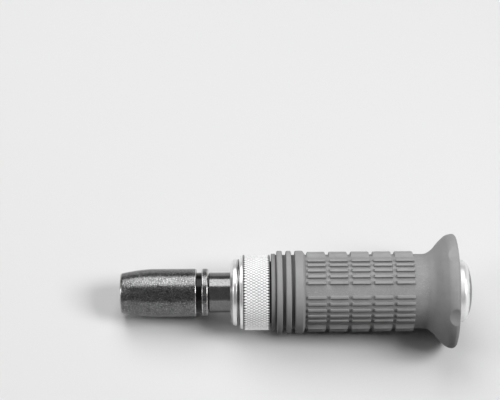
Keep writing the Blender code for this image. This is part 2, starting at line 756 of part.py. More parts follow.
def make_spring_plates(housing, slide):
    """Seat on the cap and follower on the spindle, each with a spigot inside the spring."""
    plates = (
        ("spring_seat", SEAT_THICKNESS, seat_x, -1, housing),
        ("spring_follower", FOLLOWER_THICKNESS, follower_x, 1, slide),
    )
    for name, thickness, x, way, parent in plates:
        face = thickness if way > 0 else 0.0
        back = 0.0 if way > 0 else thickness
        profile = [
            (back, 0.0),
            (back, fit_in_barrel_radius),
            (face, fit_in_barrel_radius),
            (face, spigot_radius),
            (face + way * (SPIGOT_LENGTH - SPIGOT_CHAMFER), spigot_radius),
            (face + way * SPIGOT_LENGTH, spigot_radius - SPIGOT_CHAMFER),
            (face + way * SPIGOT_LENGTH, 0.0),
        ]
        bm = bmesh.new()
        turned(bm, profile, SPINDLE_SIDES)
        finished(name, bm, bright_steel(name + "_steel"), x, 0.0, parent)


def make_main_spring(parent):
    """Compression spring that pushes the spindle forward."""
    end_pitch = 2 * SPRING_WIRE_RADIUS + SPRING_END_GAP
    points = helix_points(
        spring_radius, spring_length - 2 * SPRING_WIRE_RADIUS,
        SPRING_TURNS, SPRING_POINTS, SPRING_END_TURNS, end_pitch,
    )
    spring = spring_wire(
        "main_spring", points, SPRING_POINTS, SPRING_WIRE_RADIUS, 1,
        bright_steel("spring_steel"), parent,
    )
    spring.location.x = spring_x + SPRING_WIRE_RADIUS


def make_front_bush(parent):
    """Polished gland bush that guides the spindle and clamps washer and collar."""
    groove_radius = seal_radius + SEAL_SECTION_RADIUS + CLEARANCE
    groove_half = SEAL_SECTION_RADIUS + CLEARANCE
    sleeve_front = BUSH_FLANGE_THICKNESS
    profile = [
        (0.0, bush_bore_radius + BUSH_BORE_CHAMFER),
        (0.0, bush_flange_radius - BUSH_FRONT_DROP),
        (BUSH_FRONT_BEVEL, bush_flange_radius),
        (sleeve_front - BUSH_REAR_BEVEL, bush_flange_radius),
        (sleeve_front, bush_flange_radius - BUSH_REAR_BEVEL),
        (sleeve_front, fit_in_barrel_radius),
        (BUSH_LENGTH, fit_in_barrel_radius),
        (BUSH_LENGTH, bush_bore_radius),
        (SEAL_FROM_FRONT + groove_half, bush_bore_radius),
        (SEAL_FROM_FRONT + groove_half, groove_radius),
        (SEAL_FROM_FRONT - groove_half, groove_radius),
        (SEAL_FROM_FRONT - groove_half, bush_bore_radius),
        (BUSH_BORE_CHAMFER, bush_bore_radius),
    ]
    bm = bmesh.new()
    turned(bm, profile, BUSH_SIDES, closed=True)
    finished("front_bush", bm, chrome("bush_chrome"), bush_x, 0.0, parent)


def make_dust_seal(parent):
    """Rubber ring in the groove of the front bush."""
    profile = [
        (
            SEAL_SECTION_RADIUS * math.sin(math.tau * step / SEAL_SECTION_SIDES),
            seal_radius + SEAL_SECTION_RADIUS * math.cos(math.tau * step / SEAL_SECTION_SIDES),
        )
        for step in range(SEAL_SECTION_SIDES)
    ]
    bm = bmesh.new()
    turned(bm, profile, SPINDLE_SIDES, closed=True)
    finished("dust_seal", bm, rubber("seal_rubber", 0.02), bush_x + SEAL_FROM_FRONT, 0.0, parent)


def make_lock_washer(parent):
    """Thin washer between the bush's flange and the collar."""
    profile = [
        (0.0, barrel_bore_radius), (0.0, washer_radius),
        (WASHER_THICKNESS, washer_radius), (WASHER_THICKNESS, barrel_bore_radius),
    ]
    bm = bmesh.new()
    turned(bm, profile, BUSH_SIDES, closed=True)
    finished("lock_washer", bm, bright_steel("washer_steel"), washer_x, 0.0, parent)


def make_knurled_collar(parent):
    """Collar over the barrel's front end, with a smooth lip and a diamond knurl."""
    lip_radius = collar_radius - COLLAR_LIP_STEP
    valley_radius = collar_radius - KNURL_DEPTH
    knurl_front = COLLAR_LIP_BAND + COLLAR_CHAMFER
    knurl_rear = COLLAR_LENGTH - COLLAR_CHAMFER
    rows = 2 * KNURL_ROWS
    row_pitch = (knurl_rear - knurl_front) / rows
    profile = [
        (0.0, 0.0),
        (0.0, lip_radius - COLLAR_CHAMFER),
        (COLLAR_CHAMFER, lip_radius),
        (COLLAR_LIP_BAND, lip_radius),
    ]
    profile += [(knurl_front + row * row_pitch, valley_radius) for row in range(rows + 1)]
    profile += [(COLLAR_LENGTH, lip_radius - COLLAR_CHAMFER), (COLLAR_LENGTH, 0.0)]
    sides = 2 * KNURL_COUNT
    bm = bmesh.new()
    turned(bm, profile, sides)

    def grid_place(vert):
        """Column and row of a vertex of the knurl, or None off the knurl."""
        radius = math.hypot(vert.co.y, vert.co.z)
        if abs(radius - valley_radius) > MERGE_DISTANCE:
            return None
        row = round((vert.co.x - knurl_front) / row_pitch)
        column = round(math.atan2(-vert.co.y, vert.co.z) / (2 * math.pi) * sides)
        return column, row

    places = {v: grid_place(v) for v in bm.verts}
    on_knurl = {v: sum(place) % 2 for v, place in places.items() if place}
    for face in [f for f in bm.faces if all(v in on_knurl for v in f.verts)]:
        bmesh.ops.connect_verts(bm, verts=[v for v in face.verts if not on_knurl[v]])
    for vert, is_peak in on_knurl.items():
        inside = 0 < places[vert][1] < rows
        if is_peak and inside:
            grow = collar_radius / valley_radius
            vert.co.y *= grow
            vert.co.z *= grow
    collar = finished("knurled_collar", bm, chrome("collar_chrome"), collar_x, 0.0, parent)

    bore = [
        (-OVERRUN, 0.0), (-OVERRUN, barrel_bore_radius),
        (COLLAR_LIP_LENGTH, barrel_bore_radius), (COLLAR_LIP_LENGTH, over_barrel_radius),
        (COLLAR_LENGTH + OVERRUN, over_barrel_radius), (COLLAR_LENGTH + OVERRUN, 0.0),
    ]
    bm = bmesh.new()
    turned(bm, bore, BARREL_SIDES)
    shape_with(collar, cutter("collar_bore_cut", bm, collar_x), "DIFFERENCE")


def grip_profile():
    """Section of the rubber grip as (station, radius) points, from its front face."""
    base = grip_radius
    lip = base + GRIP_LIP_HEIGHT
    crest = base + RIB_HEIGHT
    profile = [
        (0.0, over_barrel_radius), (0.0, lip - GRIP_EDGE), (GRIP_EDGE, lip),
        (GRIP_LIP_WIDTH - GRIP_EDGE, lip), (GRIP_LIP_WIDTH, base),
    ]
    x = first_rib_x
    for rib, width in enumerate(RIB_WIDTHS, start=1):
        slope = LAST_RIB_SLOPE if rib == len(RIB_WIDTHS) else 0.0
        profile += [
            (x, base), (x + RIB_FLANK, crest),
            (x + width - RIB_FLANK, crest), (x + width + slope, base),
        ]
        x += width + RIB_GAP
    rim_rear = GRIP_LENGTH
    rim_front = rim_rear - GUARD_RIM
    rise = GUARD_RADIUS - base
    profile += [
        (rim_front - GUARD_FLARE + along * GUARD_FLARE, base + up * rise)
        for along, up in GUARD_FLARE_SHARES
    ]
    for step in range(GUARD_EDGE_STEPS + 1):
        angle = math.pi / 2 * (1 - step / GUARD_EDGE_STEPS)
        profile.append((
            rim_rear - GUARD_EDGE + GUARD_EDGE * math.cos(angle),
            GUARD_RADIUS - GUARD_EDGE + GUARD_EDGE * math.sin(angle),
        ))
    profile.append((rim_rear, over_barrel_radius))
    return profile


def add_bar(bm, x, angle):
    """One raised bar, its root sunk into the rubber, at an angle round the grip."""
    levels = (
        (grip_radius - BAR_ROOT, BAR_FOOT_WIDTH / 2, x, x + BAR_LENGTH),
        (
            grip_radius + BAR_HEIGHT, BAR_CROWN_WIDTH / 2,
            x + BAR_FRONT_SLOPE, x + BAR_LENGTH - BAR_REAR_SLOPE,
        ),
    )
    roll = Matrix.Rotation(angle, 4, "X")
    loops = []
    for height, half, front, rear in levels:
        corners = ((front, -half), (rear, -half), (rear, half), (front, half))
        loops.append([bm.verts.new(roll @ Vector((*corner, height))) for corner in corners])
    bridge(bm, loops)


def make_rubber_grip(parent):
    """Moulded rubber sleeve with ribs, blocks of bars and a guard behind the hand."""
    bm = bmesh.new()
    turned(bm, grip_profile(), GRIP_SIDES, closed=True)
    grip = finished("rubber_grip", bm, rubber("grip_rubber", 0.27), grip_x, 0.0, parent)

    bm = bmesh.new()
    for group in range(BAR_GROUPS):
        for bar in range(BARS_IN_GROUP):
            from_middle = (bar - (BARS_IN_GROUP - 1) / 2) * BAR_ANGLE
            angle = math.radians(group * 360.0 / BAR_GROUPS + from_middle)
            for column in range(BAR_COLUMNS):
                add_bar(bm, first_bar_x + column * BAR_PITCH, angle)
    shape_with(grip, cutter("grip_bars", bm, grip_x), "UNION")

    half = SCALLOP_WIDTH / 2
    ball_radius = (half ** 2 + SCALLOP_DEPTH ** 2) / (2 * SCALLOP_DEPTH)
    bm = bmesh.new()
    for scallop in range(SCALLOP_COUNT):
        place = Matrix.Rotation(2 * math.pi * scallop / SCALLOP_COUNT, 4, "X")
        place @= Matrix.Translation((0, 0, GUARD_RADIUS + ball_radius - SCALLOP_DEPTH))
        bmesh.ops.create_uvsphere(
            bm, u_segments=SCALLOP_SIDES, v_segments=SCALLOP_RINGS, radius=ball_radius,
            matrix=place,
        )
    shape_with(grip, cutter("scallop_cut", bm, grip_rear_x), "DIFFERENCE")


def make_driver():
    """Builds every piece and hangs it on the group that it moves with."""
    for old in list(bpy.data.objects):
        bpy.data.objects.remove(old)
    housing = assembly_empty("housing_group")
    slide = assembly_empty("slide_group", housing)
    turning = assembly_empty("turning_group", slide)
    holder = assembly_empty("holder_group", turning)

    make_strike_cap(housing)
    make_barrel(housing)
    make_cap_roll_pin(housing)
    make_rubber_grip(housing)
    make_knurled_collar(housing)
    make_lock_washer(housing)
    make_front_bush(housing)
    make_dust_seal(housing)
    make_cam_sleeve(housing)
    make_cam_dowels(housing)
    make_spring_plates(housing, slide)
    make_main_spring(housing)
    make_spindle(turning)
    make_cross_pin(turning)
    make_detent_spring(turning)
    make_detent_ball(turning)
    make_bit_holder(holder)
    make_bit_clip(holder)


make_driver()
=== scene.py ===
"""Looks of the hand impact driver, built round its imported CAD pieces.

The tool's axis is X, with the bit holder towards -X and the struck cap towards +X. Lengths are
in metres. The pieces that show come first, from the nose backwards, and the hidden ones after.
"""

import json
import math

import bmesh
import bpy
from mathutils import Matrix, Vector

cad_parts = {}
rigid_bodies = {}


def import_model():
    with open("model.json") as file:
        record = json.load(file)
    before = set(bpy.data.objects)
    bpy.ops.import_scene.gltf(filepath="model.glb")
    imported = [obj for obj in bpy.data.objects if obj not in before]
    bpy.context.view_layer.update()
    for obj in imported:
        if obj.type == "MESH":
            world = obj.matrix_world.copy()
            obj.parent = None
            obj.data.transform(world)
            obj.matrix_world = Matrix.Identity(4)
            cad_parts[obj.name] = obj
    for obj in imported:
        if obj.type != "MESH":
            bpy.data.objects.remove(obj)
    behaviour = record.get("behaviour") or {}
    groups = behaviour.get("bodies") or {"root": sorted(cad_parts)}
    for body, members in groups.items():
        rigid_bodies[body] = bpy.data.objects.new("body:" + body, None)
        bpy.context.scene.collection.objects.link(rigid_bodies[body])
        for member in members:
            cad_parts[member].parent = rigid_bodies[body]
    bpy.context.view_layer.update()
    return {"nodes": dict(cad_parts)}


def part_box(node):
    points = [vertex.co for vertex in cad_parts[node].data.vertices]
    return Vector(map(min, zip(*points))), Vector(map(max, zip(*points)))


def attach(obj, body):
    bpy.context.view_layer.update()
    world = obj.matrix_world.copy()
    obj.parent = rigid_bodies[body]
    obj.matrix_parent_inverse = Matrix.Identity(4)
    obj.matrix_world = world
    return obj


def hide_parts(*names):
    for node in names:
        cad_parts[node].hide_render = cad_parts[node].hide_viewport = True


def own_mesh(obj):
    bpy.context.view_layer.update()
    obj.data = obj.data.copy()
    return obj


for leftover in list(bpy.data.objects):
    bpy.data.objects.remove(leftover)
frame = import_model()


# Bit holder: a steel socket turned from bar and blackened in hot oxide, worn on its rims.
# The hexagon socket in front takes the bit. The square one behind slides on the drive.
HOLDER_SIDES = 128
HOLDER_RADIUS = 0.0110
HOLDER_ROUNDING = 0.0005
NOSE_RADIUS = 0.0090
NOSE_LENGTH = 0.0145
NOSE_SHARES = ((0.0, 0.0), (0.27, 0.40), (0.55, 0.72), (0.8, 0.92), (1.0, 1.0))
NOSE_STEPS = 3
GROOVE_RADIUS = 0.0092
GROOVE_WIDTH = 0.0025
GROOVE_ROUNDING = 0.00015
FLANGE_WIDTH = 0.0028
HEX_FLATS = 0.0081
HEX_DEPTH = 0.0150
HEX_MOUTH = 0.0006
CLIP_STATION = 0.0060
CLIP_GROOVE_RADIUS = 0.0054
CLIP_GROOVE_WIDTH = 0.0018
SQUARE_SOCKET = 0.0133
SQUARE_DEPTH = 0.0160
SQUARE_ROUNDING = 0.0009
SQUARE_ROUNDING_STEPS = 3
DRIVE_ROLL = math.radians(50.0)
OVERRUN = 0.001
MERGE = 0.00002
DOUBLES = 0.000001
CORNER_STEPS = 3
SHARP_ANGLE = math.radians(40.0)
SMOOTH_ANGLE = math.radians(34.0)
CLOUD_NOISE = 0.3, 0.7
SPECK_NOISE = 0.52, 0.66
WEAR_AND_SHADE_NOISE = 0.8, 1.1
OXIDE = (0.06, 0.06, 0.062), (0.16, 0.16, 0.162)
OXIDE_SPECKS = (0.32, 0.32, 0.32)
OXIDE_ROUGHNESS = 0.18, 0.29
BARE_RIM = (0.6, 0.59, 0.58)
RIM_INSET = 0.0002
RIM_WIDTH = 0.0006
RIM_COVER = 0.55
GROOVE_BLACK = (0.02, 0.02, 0.02)
GROOVE_BLACK_RADII = 0.0107, 0.0096
GROOVE_BLACK_EDGE = 0.0001


def only(piece):
    """Makes a piece the one that is selected and active."""
    bpy.ops.object.select_all(action="DESELECT")
    piece.select_set(True)
    bpy.context.view_layer.objects.active = piece


def named(name):
    """Names the object that an operator has just added."""
    piece = bpy.context.object
    piece.name = name
    piece.data.name = name
    return piece


def pick(piece, kind, wanted):
    """Selects in edit mode the verts, edges or faces that pass a test, and nothing else."""
    bpy.context.tool_settings.mesh_select_mode = (
        kind == "verts", kind == "edges", kind == "faces",
    )
    bpy.ops.mesh.select_all(action="DESELECT")
    mesh = bmesh.from_edit_mesh(piece.data)
    for part in getattr(mesh, kind):
        if wanted(part):
            part.select_set(True)
    mesh.select_flush_mode()
    bmesh.update_edit_mesh(piece.data)


def drawn(name, points):
    """Draws a line through points from a single vertex, and stays in edit mode."""
    bpy.ops.mesh.primitive_plane_add()
    piece = named(name)
    bpy.context.tool_settings.mesh_select_mode = (True, False, False)
    bpy.ops.object.mode_set(mode="EDIT")
    bpy.ops.mesh.merge(type="CENTER")
    bpy.ops.transform.translate(value=points[0])
    for here, there in zip(points, points[1:]):
        bpy.ops.mesh.extrude_vertices_move(TRANSFORM_OT_translate={"value": there - here})
    return piece


def merged(threshold):
    """Merges the doubled points of the piece in edit mode and turns its faces outwards."""
    bpy.ops.mesh.select_all(action="SELECT")
    bpy.ops.mesh.remove_doubles(threshold=threshold)
    bpy.ops.mesh.normals_make_consistent(inside=False)


def turned(name, section, sides, sweep=math.tau):
    """Spins a section, given by (station, radius, rounding) points, round the axis."""
    corners = [Vector((x, 0.0, radius)) for x, radius, _ in section]
    piece = drawn(name, corners)
    for corner, (_, _, rounding) in zip(corners, section):
        if rounding:
            pick(piece, "verts", lambda vert: (vert.co - corner).length < MERGE)
            bpy.ops.mesh.bevel(
                offset_type="OFFSET", offset=rounding, segments=CORNER_STEPS, affect="VERTICES",
            )
    merged(MERGE)
    bpy.ops.mesh.spin(steps=sides, angle=sweep, center=(0, 0, 0), axis=(1, 0, 0))
    merged(MERGE)
    bpy.ops.object.mode_set(mode="OBJECT")
    return piece


def curved(shares, steps):
    """A smooth row of points through the given shares, several to each stretch."""
    ends = [shares[0], *shares, shares[-1]]
    row = []
    for before, start, end, after in zip(ends, ends[1:], ends[2:], ends[3:]):
        for step in range(steps):
            t = step / steps
            row.append(tuple(
                0.5 * (
                    2 * b + (c - a) * t + (2 * a - 5 * b + 4 * c - d) * t ** 2
                    + (3 * b - 3 * c + d - a) * t ** 3
                )
                for a, b, c, d in zip(before, start, end, after)
            ))
    return row + [shares[-1]]


def modified(piece, kind, **settings):
    """Adds a modifier to a piece, with its settings, and applies it."""
    only(piece)
    bpy.ops.object.modifier_add(type=kind)
    modifier = piece.modifiers[-1]
    for key, value in settings.items():
        setattr(modifier, key, value)
    bpy.ops.object.modifier_apply(modifier=modifier.name)


def combine(piece, other, operation):
    """Cuts a piece with another one, or joins the two, and takes the other one away."""
    modified(piece, "BOOLEAN", operation=operation, solver="EXACT", object=other)
    bpy.data.objects.remove(other)


def softened(piece, width, segments):
    """Rounds every sharp edge of a piece."""
    modified(
        piece, "BEVEL", width=width, segments=segments, limit_method="ANGLE",
        angle_limit=SHARP_ANGLE,
    )


def bar_stock(name, corners, across_flats, front, rear, roll):
    """A bar of regular section along the axis, with a flat at the given roll."""
    bpy.ops.mesh.primitive_cylinder_add(
        vertices=corners, radius=across_flats / 2 / math.cos(math.pi / corners),
        depth=rear - front,
    )
    bar = named(name)
    flat_up = Matrix.Rotation(roll, 4, "X") @ Matrix.Rotation(math.pi / 2, 4, "Y")
    flat_up @= Matrix.Rotation(math.pi / corners, 4, "Z")
    bar.matrix_world = Matrix.Translation(((front + rear) / 2, 0, 0)) @ flat_up
    bpy.ops.object.transform_apply(location=True, rotation=True, scale=True)
    return bar


def dressed(piece, material, smooth_angle=SMOOTH_ANGLE):
    """Puts a piece's place in its mesh, shades it and gives it its material."""
    only(piece)
    bpy.ops.object.transform_apply(location=True, rotation=True, scale=True)
    bpy.ops.object.mode_set(mode="EDIT")
    bpy.ops.mesh.select_all(action="SELECT")
    bpy.ops.mesh.remove_doubles(threshold=DOUBLES)
    bpy.ops.object.mode_set(mode="OBJECT")
    bpy.ops.object.shade_smooth_by_angle(angle=smooth_angle)
    modified(piece, "WEIGHTED_NORMAL", keep_sharp=True)
    piece.data.materials.clear()
    piece.data.materials.append(material)


def put(tree, kind, sockets=None, **settings):
    """Adds a shader node, with its settings, and its sockets set or linked from a dict."""
    made = tree.nodes.new("ShaderNode" + kind)
    for key, value in settings.items():
        setattr(made, key, value)
    for key, value in (sockets or {}).items():
        if isinstance(value, bpy.types.NodeSocket):
            tree.links.new(value, made.inputs[key])
        else:
            made.inputs[key].default_value = value
    return made


def maths(tree, operation, *values):
    """The result of a sum on values or sockets."""
    return put(tree, "Math", dict(enumerate(values)), operation=operation).outputs[0]


def ranged(tree, value, start, end, low=0.0, high=1.0, **settings):
    """A value brought from one range to another and held at its ends."""
    return put(tree, "MapRange", {
        "Value": value, "From Min": start, "From Max": end, "To Min": low, "To Max": high,
    }, **settings).outputs[0]


def between(tree, value, low, high):
    """A value from 0 to 1 spread between two others."""
    return ranged(tree, value, 0.0, 1.0, low, high)


def mixed(tree, share, low, high):
    """A colour between two, by a share."""
    low, high = (
        end if isinstance(end, bpy.types.NodeSocket) else (*end, 1.0) for end in (low, high)
    )
    # Sockets 6 and 7 take a Mix node's two colours, and output 2 gives the mixed one
    blend = put(tree, "Mix", {"Factor": share, 6: low, 7: high}, data_type="RGBA")
    return blend.outputs[2]


def dented(tree, height, distance, strength):
    """A normal bent by a height."""
    return put(tree, "Bump", {
        "Height": height, "Distance": distance, "Strength": strength,
    }).outputs["Normal"]


def on_piece(tree):
    """A point's place on its piece."""
    return put(tree, "TexCoord").outputs["Object"]


def from_axis(tree):
    """A point's station along the axis and its distance from it."""
    parts = put(tree, "SeparateXYZ", {"Vector": on_piece(tree)}).outputs
    across = put(tree, "CombineXYZ", {"Y": parts["Y"], "Z": parts["Z"]}).outputs[0]
    radius = put(tree, "VectorMath", {0: across}, operation="LENGTH").outputs["Value"]
    return parts["X"], radius


def new_group(name, inputs, outputs):
    """An empty shader group with float inputs and outputs, and its two end nodes."""
    tree = bpy.data.node_groups.new(name, "ShaderNodeTree")
    for label, value in inputs.items():
        socket = tree.interface.new_socket(label, in_out="INPUT", socket_type="NodeSocketFloat")
        socket.default_value = value
    for label in outputs:
        tree.interface.new_socket(label, in_out="OUTPUT", socket_type="NodeSocketFloat")
    return tree, tree.nodes.new("NodeGroupInput"), tree.nodes.new("NodeGroupOutput")


def feed(tree, node, sockets):
    """Links results to a node's sockets."""
    for label, value in sockets.items():
        tree.links.new(value, node.inputs[label])


def new_material(name, plain):
    """A Principled material with its plain values set, its tree and its shader."""
    made = bpy.data.materials.new(name)
    made.use_nodes = True
    shader = made.node_tree.nodes["Principled BSDF"]
    for socket, value in plain.items():
        shader.inputs[socket].default_value = value
    return made, made.node_tree, shader


def lathe_marks():
    """Group: fine rings that a turning tool leaves round the axis, and broader bands."""
    tree, given, result = new_group(
        "lathe_marks", {"Rings per metre": 3000.0}, ["Height", "Bands"],
    )
    along = put(tree, "Mapping", {"Vector": on_piece(tree), "Scale": (1.0, 0.03, 0.03)})
    fine = put(tree, "TexNoise", {
        "Vector": along.outputs["Vector"], "Scale": given.outputs["Rings per metre"],
        "Detail": 3.0, "Roughness": 0.6,
    })
    broad = put(tree, "TexNoise", {
        "Vector": along.outputs["Vector"], "Scale": 400.0, "Detail": 2.0,
    })
    feed(tree, result, {"Height": fine.outputs["Fac"], "Bands": broad.outputs["Fac"]})
    return tree


def handling():
    """Group: cloudy stains from hands and oil, and small specks, both from 0 to 1."""
    tree, given, result = new_group(
        "handling", {"Cloud scale": 160.0, "Speck scale": 1800.0}, ["Clouds", "Specks"],
    )
    place = on_piece(tree)
    clouds = put(tree, "TexNoise", {
        "Vector": place, "Scale": given.outputs["Cloud scale"],
        "Detail": 6.0, "Roughness": 0.65,
    })
    specks = put(tree, "TexNoise", {
        "Vector": place, "Scale": given.outputs["Speck scale"],
        "Detail": 2.0, "Roughness": 0.5,
    })
    feed(tree, result, {
        "Clouds": ranged(tree, clouds.outputs["Fac"], *CLOUD_NOISE),
        "Specks": ranged(tree, specks.outputs["Fac"], *SPECK_NOISE),
    })
    return tree


def rim_wear_and_shade():
    """Group: a patchy mask on a turned edge at a station along the axis, for worn rims and for
    painted shade in seams.
    """
    tree, given, result = new_group(
        "rim_wear_and_shade", {"Station": 0.0, "Width": 0.0006, "Cover": 0.5}, ["Wear and shade"],
    )
    place = on_piece(tree)
    x = put(tree, "SeparateXYZ", {"Vector": place}).outputs["X"]
    away = maths(tree, "ABSOLUTE", maths(tree, "SUBTRACT", x, given.outputs["Station"]))
    near = ranged(
        tree, away, 0.0, given.outputs["Width"], 1.0, 0.0, interpolation_type="SMOOTHSTEP",
    )
    patches = put(tree, "TexNoise", {"Vector": place, "Scale": 420.0, "Detail": 4.0})
    lift = maths(tree, "ADD", patches.outputs["Fac"], given.outputs["Cover"])
    worn = ranged(tree, lift, *WEAR_AND_SHADE_NOISE)
    feed(tree, result, {"Wear and shade": maths(tree, "MULTIPLY", near, worn)})
    return tree


LATHE_MARKS = lathe_marks()
HANDLING = handling()
RIM_WEAR_AND_SHADE = rim_wear_and_shade()


def lathed(tree, rings_per_metre):
    """The height of a turned surface's rings, and its broader bands."""
    marks = put(tree, "Group", {"Rings per metre": rings_per_metre}, node_tree=LATHE_MARKS)
    return marks.outputs["Height"], marks.outputs["Bands"]


def handled(tree, cloud_scale, speck_scale):
    """The stains and the specks of a surface that has been in use."""
    hands = put(tree, "Group", {
        "Cloud scale": cloud_scale, "Speck scale": speck_scale,
    }, node_tree=HANDLING)
    return hands.outputs["Clouds"], hands.outputs["Specks"]


def wear_and_shade_at(tree, stations, width, cover):
    """The strongest wear and painted seam shade of several rims, as one mask."""
    strongest = None
    for station in stations:
        rim = put(
            tree, "Group", {"Station": station, "Width": width, "Cover": cover},
            node_tree=RIM_WEAR_AND_SHADE,
        ).outputs["Wear and shade"]
        strongest = maths(tree, "MAXIMUM", strongest, rim) if strongest else rim
    return strongest


low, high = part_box("bit_holder")
nose_x, holder_rear_x = low.x, high.x
flange_x = holder_rear_x - FLANGE_WIDTH
groove_x = flange_x - GROOVE_WIDTH
taper = [
    (nose_x + along * NOSE_LENGTH, NOSE_RADIUS + up * (HOLDER_RADIUS - NOSE_RADIUS), 0.0)
    for along, up in curved(NOSE_SHARES, NOSE_STEPS)
]
bit_holder = turned("bit_holder_turned", [
    (nose_x, 0.0, 0.0),
    (nose_x, NOSE_RADIUS, HOLDER_ROUNDING),
    *taper[1:],
    (groove_x, HOLDER_RADIUS, HOLDER_ROUNDING),
    (groove_x, GROOVE_RADIUS, GROOVE_ROUNDING),
    (flange_x, GROOVE_RADIUS, GROOVE_ROUNDING),
    (flange_x, HOLDER_RADIUS, HOLDER_ROUNDING),
    (holder_rear_x, HOLDER_RADIUS, HOLDER_ROUNDING),
    (holder_rear_x, 0.0, 0.0),
], HOLDER_SIDES)
combine(bit_holder, bar_stock(
    "hexagon", 6, HEX_FLATS, nose_x - OVERRUN, nose_x + HEX_DEPTH, 0.0,
), "DIFFERENCE")
hex_mouth = HEX_FLATS / 2 / math.cos(math.pi / 6) + HEX_MOUTH
combine(bit_holder, turned("hexagon_mouth", [
    (nose_x - OVERRUN, 0.0, 0.0),
    (nose_x - OVERRUN, hex_mouth + OVERRUN, 0.0),
    (nose_x + hex_mouth, 0.0, 0.0),
], HOLDER_SIDES), "DIFFERENCE")
clip_x = nose_x + CLIP_STATION
combine(bit_holder, turned("clip_groove", [
    (clip_x - CLIP_GROOVE_WIDTH / 2, 0.0, 0.0),
    (clip_x - CLIP_GROOVE_WIDTH / 2, CLIP_GROOVE_RADIUS, 0.0),
    (clip_x + CLIP_GROOVE_WIDTH / 2, CLIP_GROOVE_RADIUS, 0.0),
    (clip_x + CLIP_GROOVE_WIDTH / 2, 0.0, 0.0),
], HOLDER_SIDES), "DIFFERENCE")
square = bar_stock(
    "square", 4, SQUARE_SOCKET, holder_rear_x - SQUARE_DEPTH, holder_rear_x + 2 * OVERRUN,
    DRIVE_ROLL,
)
softened(square, SQUARE_ROUNDING, SQUARE_ROUNDING_STEPS)
combine(bit_holder, square, "DIFFERENCE")

black_oxide, tree, shader = new_material("black_oxide_steel", {"Metallic": 1.0})
rings, _ = lathed(tree, rings_per_metre=5200.0)
clouds, specks = handled(tree, cloud_scale=420.0, speck_scale=2300.0)
along, radius = from_axis(tree)
rims = wear_and_shade_at(tree, (
    nose_x + RIM_INSET, groove_x - RIM_INSET, flange_x + RIM_INSET, holder_rear_x - RIM_INSET,
), RIM_WIDTH, RIM_COVER)
outside = ranged(
    tree, radius, NOSE_RADIUS - 2 * HOLDER_ROUNDING, NOSE_RADIUS - HOLDER_ROUNDING / 2,
)
# Behind the body, everything inside the groove's radius is darkened to near black: the groove's
# floor, the inner rear face and the square socket.
deep = ranged(tree, radius, *GROOVE_BLACK_RADII)
past_body = ranged(tree, along, groove_x - GROOVE_BLACK_EDGE, groove_x)
oxide = mixed(tree, clouds, *OXIDE)
oxide = mixed(tree, specks, oxide, OXIDE_SPECKS)
oxide = mixed(tree, maths(tree, "MULTIPLY", rims, outside), oxide, BARE_RIM)
feed(tree, shader, {
    "Base Color": mixed(tree, maths(tree, "MULTIPLY", deep, past_body), oxide, GROOVE_BLACK),
    "Roughness": between(tree, clouds, *OXIDE_ROUGHNESS),
    "Normal": dented(
        tree, maths(tree, "ADD", rings, specks), distance=0.00001, strength=0.6,
    ),
})

dressed(bit_holder, black_oxide)
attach(bit_holder, "holder")
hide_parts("bit_holder")


# Bit clip: an open ring of bright spring wire, sprung into a groove of the hexagon socket.
# It grips the bit's corners, so that the bit doesn't drop out.
CLIP_WIRE = 0.0006
CLIP_WIRE_SIDES = 12
CLIP_RING = 0.0045
CLIP_SWEEP = math.radians(300.0)
CLIP_STEPS = 60
WIRE = (0.34, 0.33, 0.32), (0.5, 0.5, 0.5)
WIRE_ROUGHNESS = 0.22, 0.36

bit_clip = turned("bit_clip_ring", [
    (
        clip_x + CLIP_WIRE * math.sin(math.tau * side / CLIP_WIRE_SIDES),
        CLIP_RING + CLIP_WIRE * math.cos(math.tau * side / CLIP_WIRE_SIDES), 0.0,
    )
    for side in range(CLIP_WIRE_SIDES + 1)
], CLIP_STEPS, CLIP_SWEEP)
bpy.ops.object.mode_set(mode="EDIT")
pick(bit_clip, "edges", lambda edge: edge.is_boundary)
bpy.ops.mesh.edge_face_add()
merged(DOUBLES)
bpy.ops.object.mode_set(mode="OBJECT")

spring_wire, tree, shader = new_material("spring_wire", {"Metallic": 1.0})
clouds, specks = handled(tree, cloud_scale=500.0, speck_scale=3000.0)
feed(tree, shader, {
    "Base Color": mixed(tree, clouds, *WIRE),
    "Roughness": between(tree, clouds, *WIRE_ROUGHNESS),
    "Normal": dented(tree, specks, distance=0.00001, strength=0.5),
})

dressed(bit_clip, spring_wire)
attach(bit_clip, "holder")
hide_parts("bit_clip")


# Spindle: one forging, ground on its square drive and on the journal that slides in the bush.
# The journal's front shoulder stops the bit holder. The cam body stays inside the barrel.
SPINDLE_SIDES = 96
DRIVE_SQUARE = 0.0127
DRIVE_CHAMFER = 0.0005
DRIVE_CHAMFER_STEPS = 2
JOURNAL_RADIUS = 0.0092
JOURNAL_ROUNDING = 0.0006
JOURNAL_GAP = 0.0003
SHOULDER_RADIUS = 0.0117
SHOULDER_LENGTH = 0.0040
SHOULDER_ROUNDING = 0.0005
SHOULDER_GAP = 0.0003
HOLE_SIDES = 48
PIN_HOLE_RADIUS = 0.0033
PIN_HOLE_REACH = 0.0102
CAM_TURN = math.radians(18.0)
BALL_HOLE_RADIUS = 0.00205
BALL_HOLE_ENDS = -0.0026, 0.0074
BALL_FROM_TIP = 0.0081
OILED_STEEL = (0.12, 0.12, 0.12), (0.22, 0.22, 0.22)
OILED_SPECKS = (0.09, 0.09, 0.09)
OILED_BANDS = (0.18, 0.18, 0.18)
OILED_ROUGHNESS = 0.12, 0.2


def radial_bit(name, radius, inner, outer, x, roll):
    """A drill's shape that stands on the axis at a station, at a roll."""
    bpy.ops.mesh.primitive_cylinder_add(
        vertices=HOLE_SIDES, radius=radius, depth=outer - inner,
    )
    bit = named(name)
    stand = Matrix.Translation((x, 0, 0)) @ Matrix.Rotation(roll, 4, "X")
    bit.matrix_world = stand @ Matrix.Translation((0, 0, (inner + outer) / 2))
    bpy.ops.object.transform_apply(location=True, rotation=True, scale=True)
    return bit


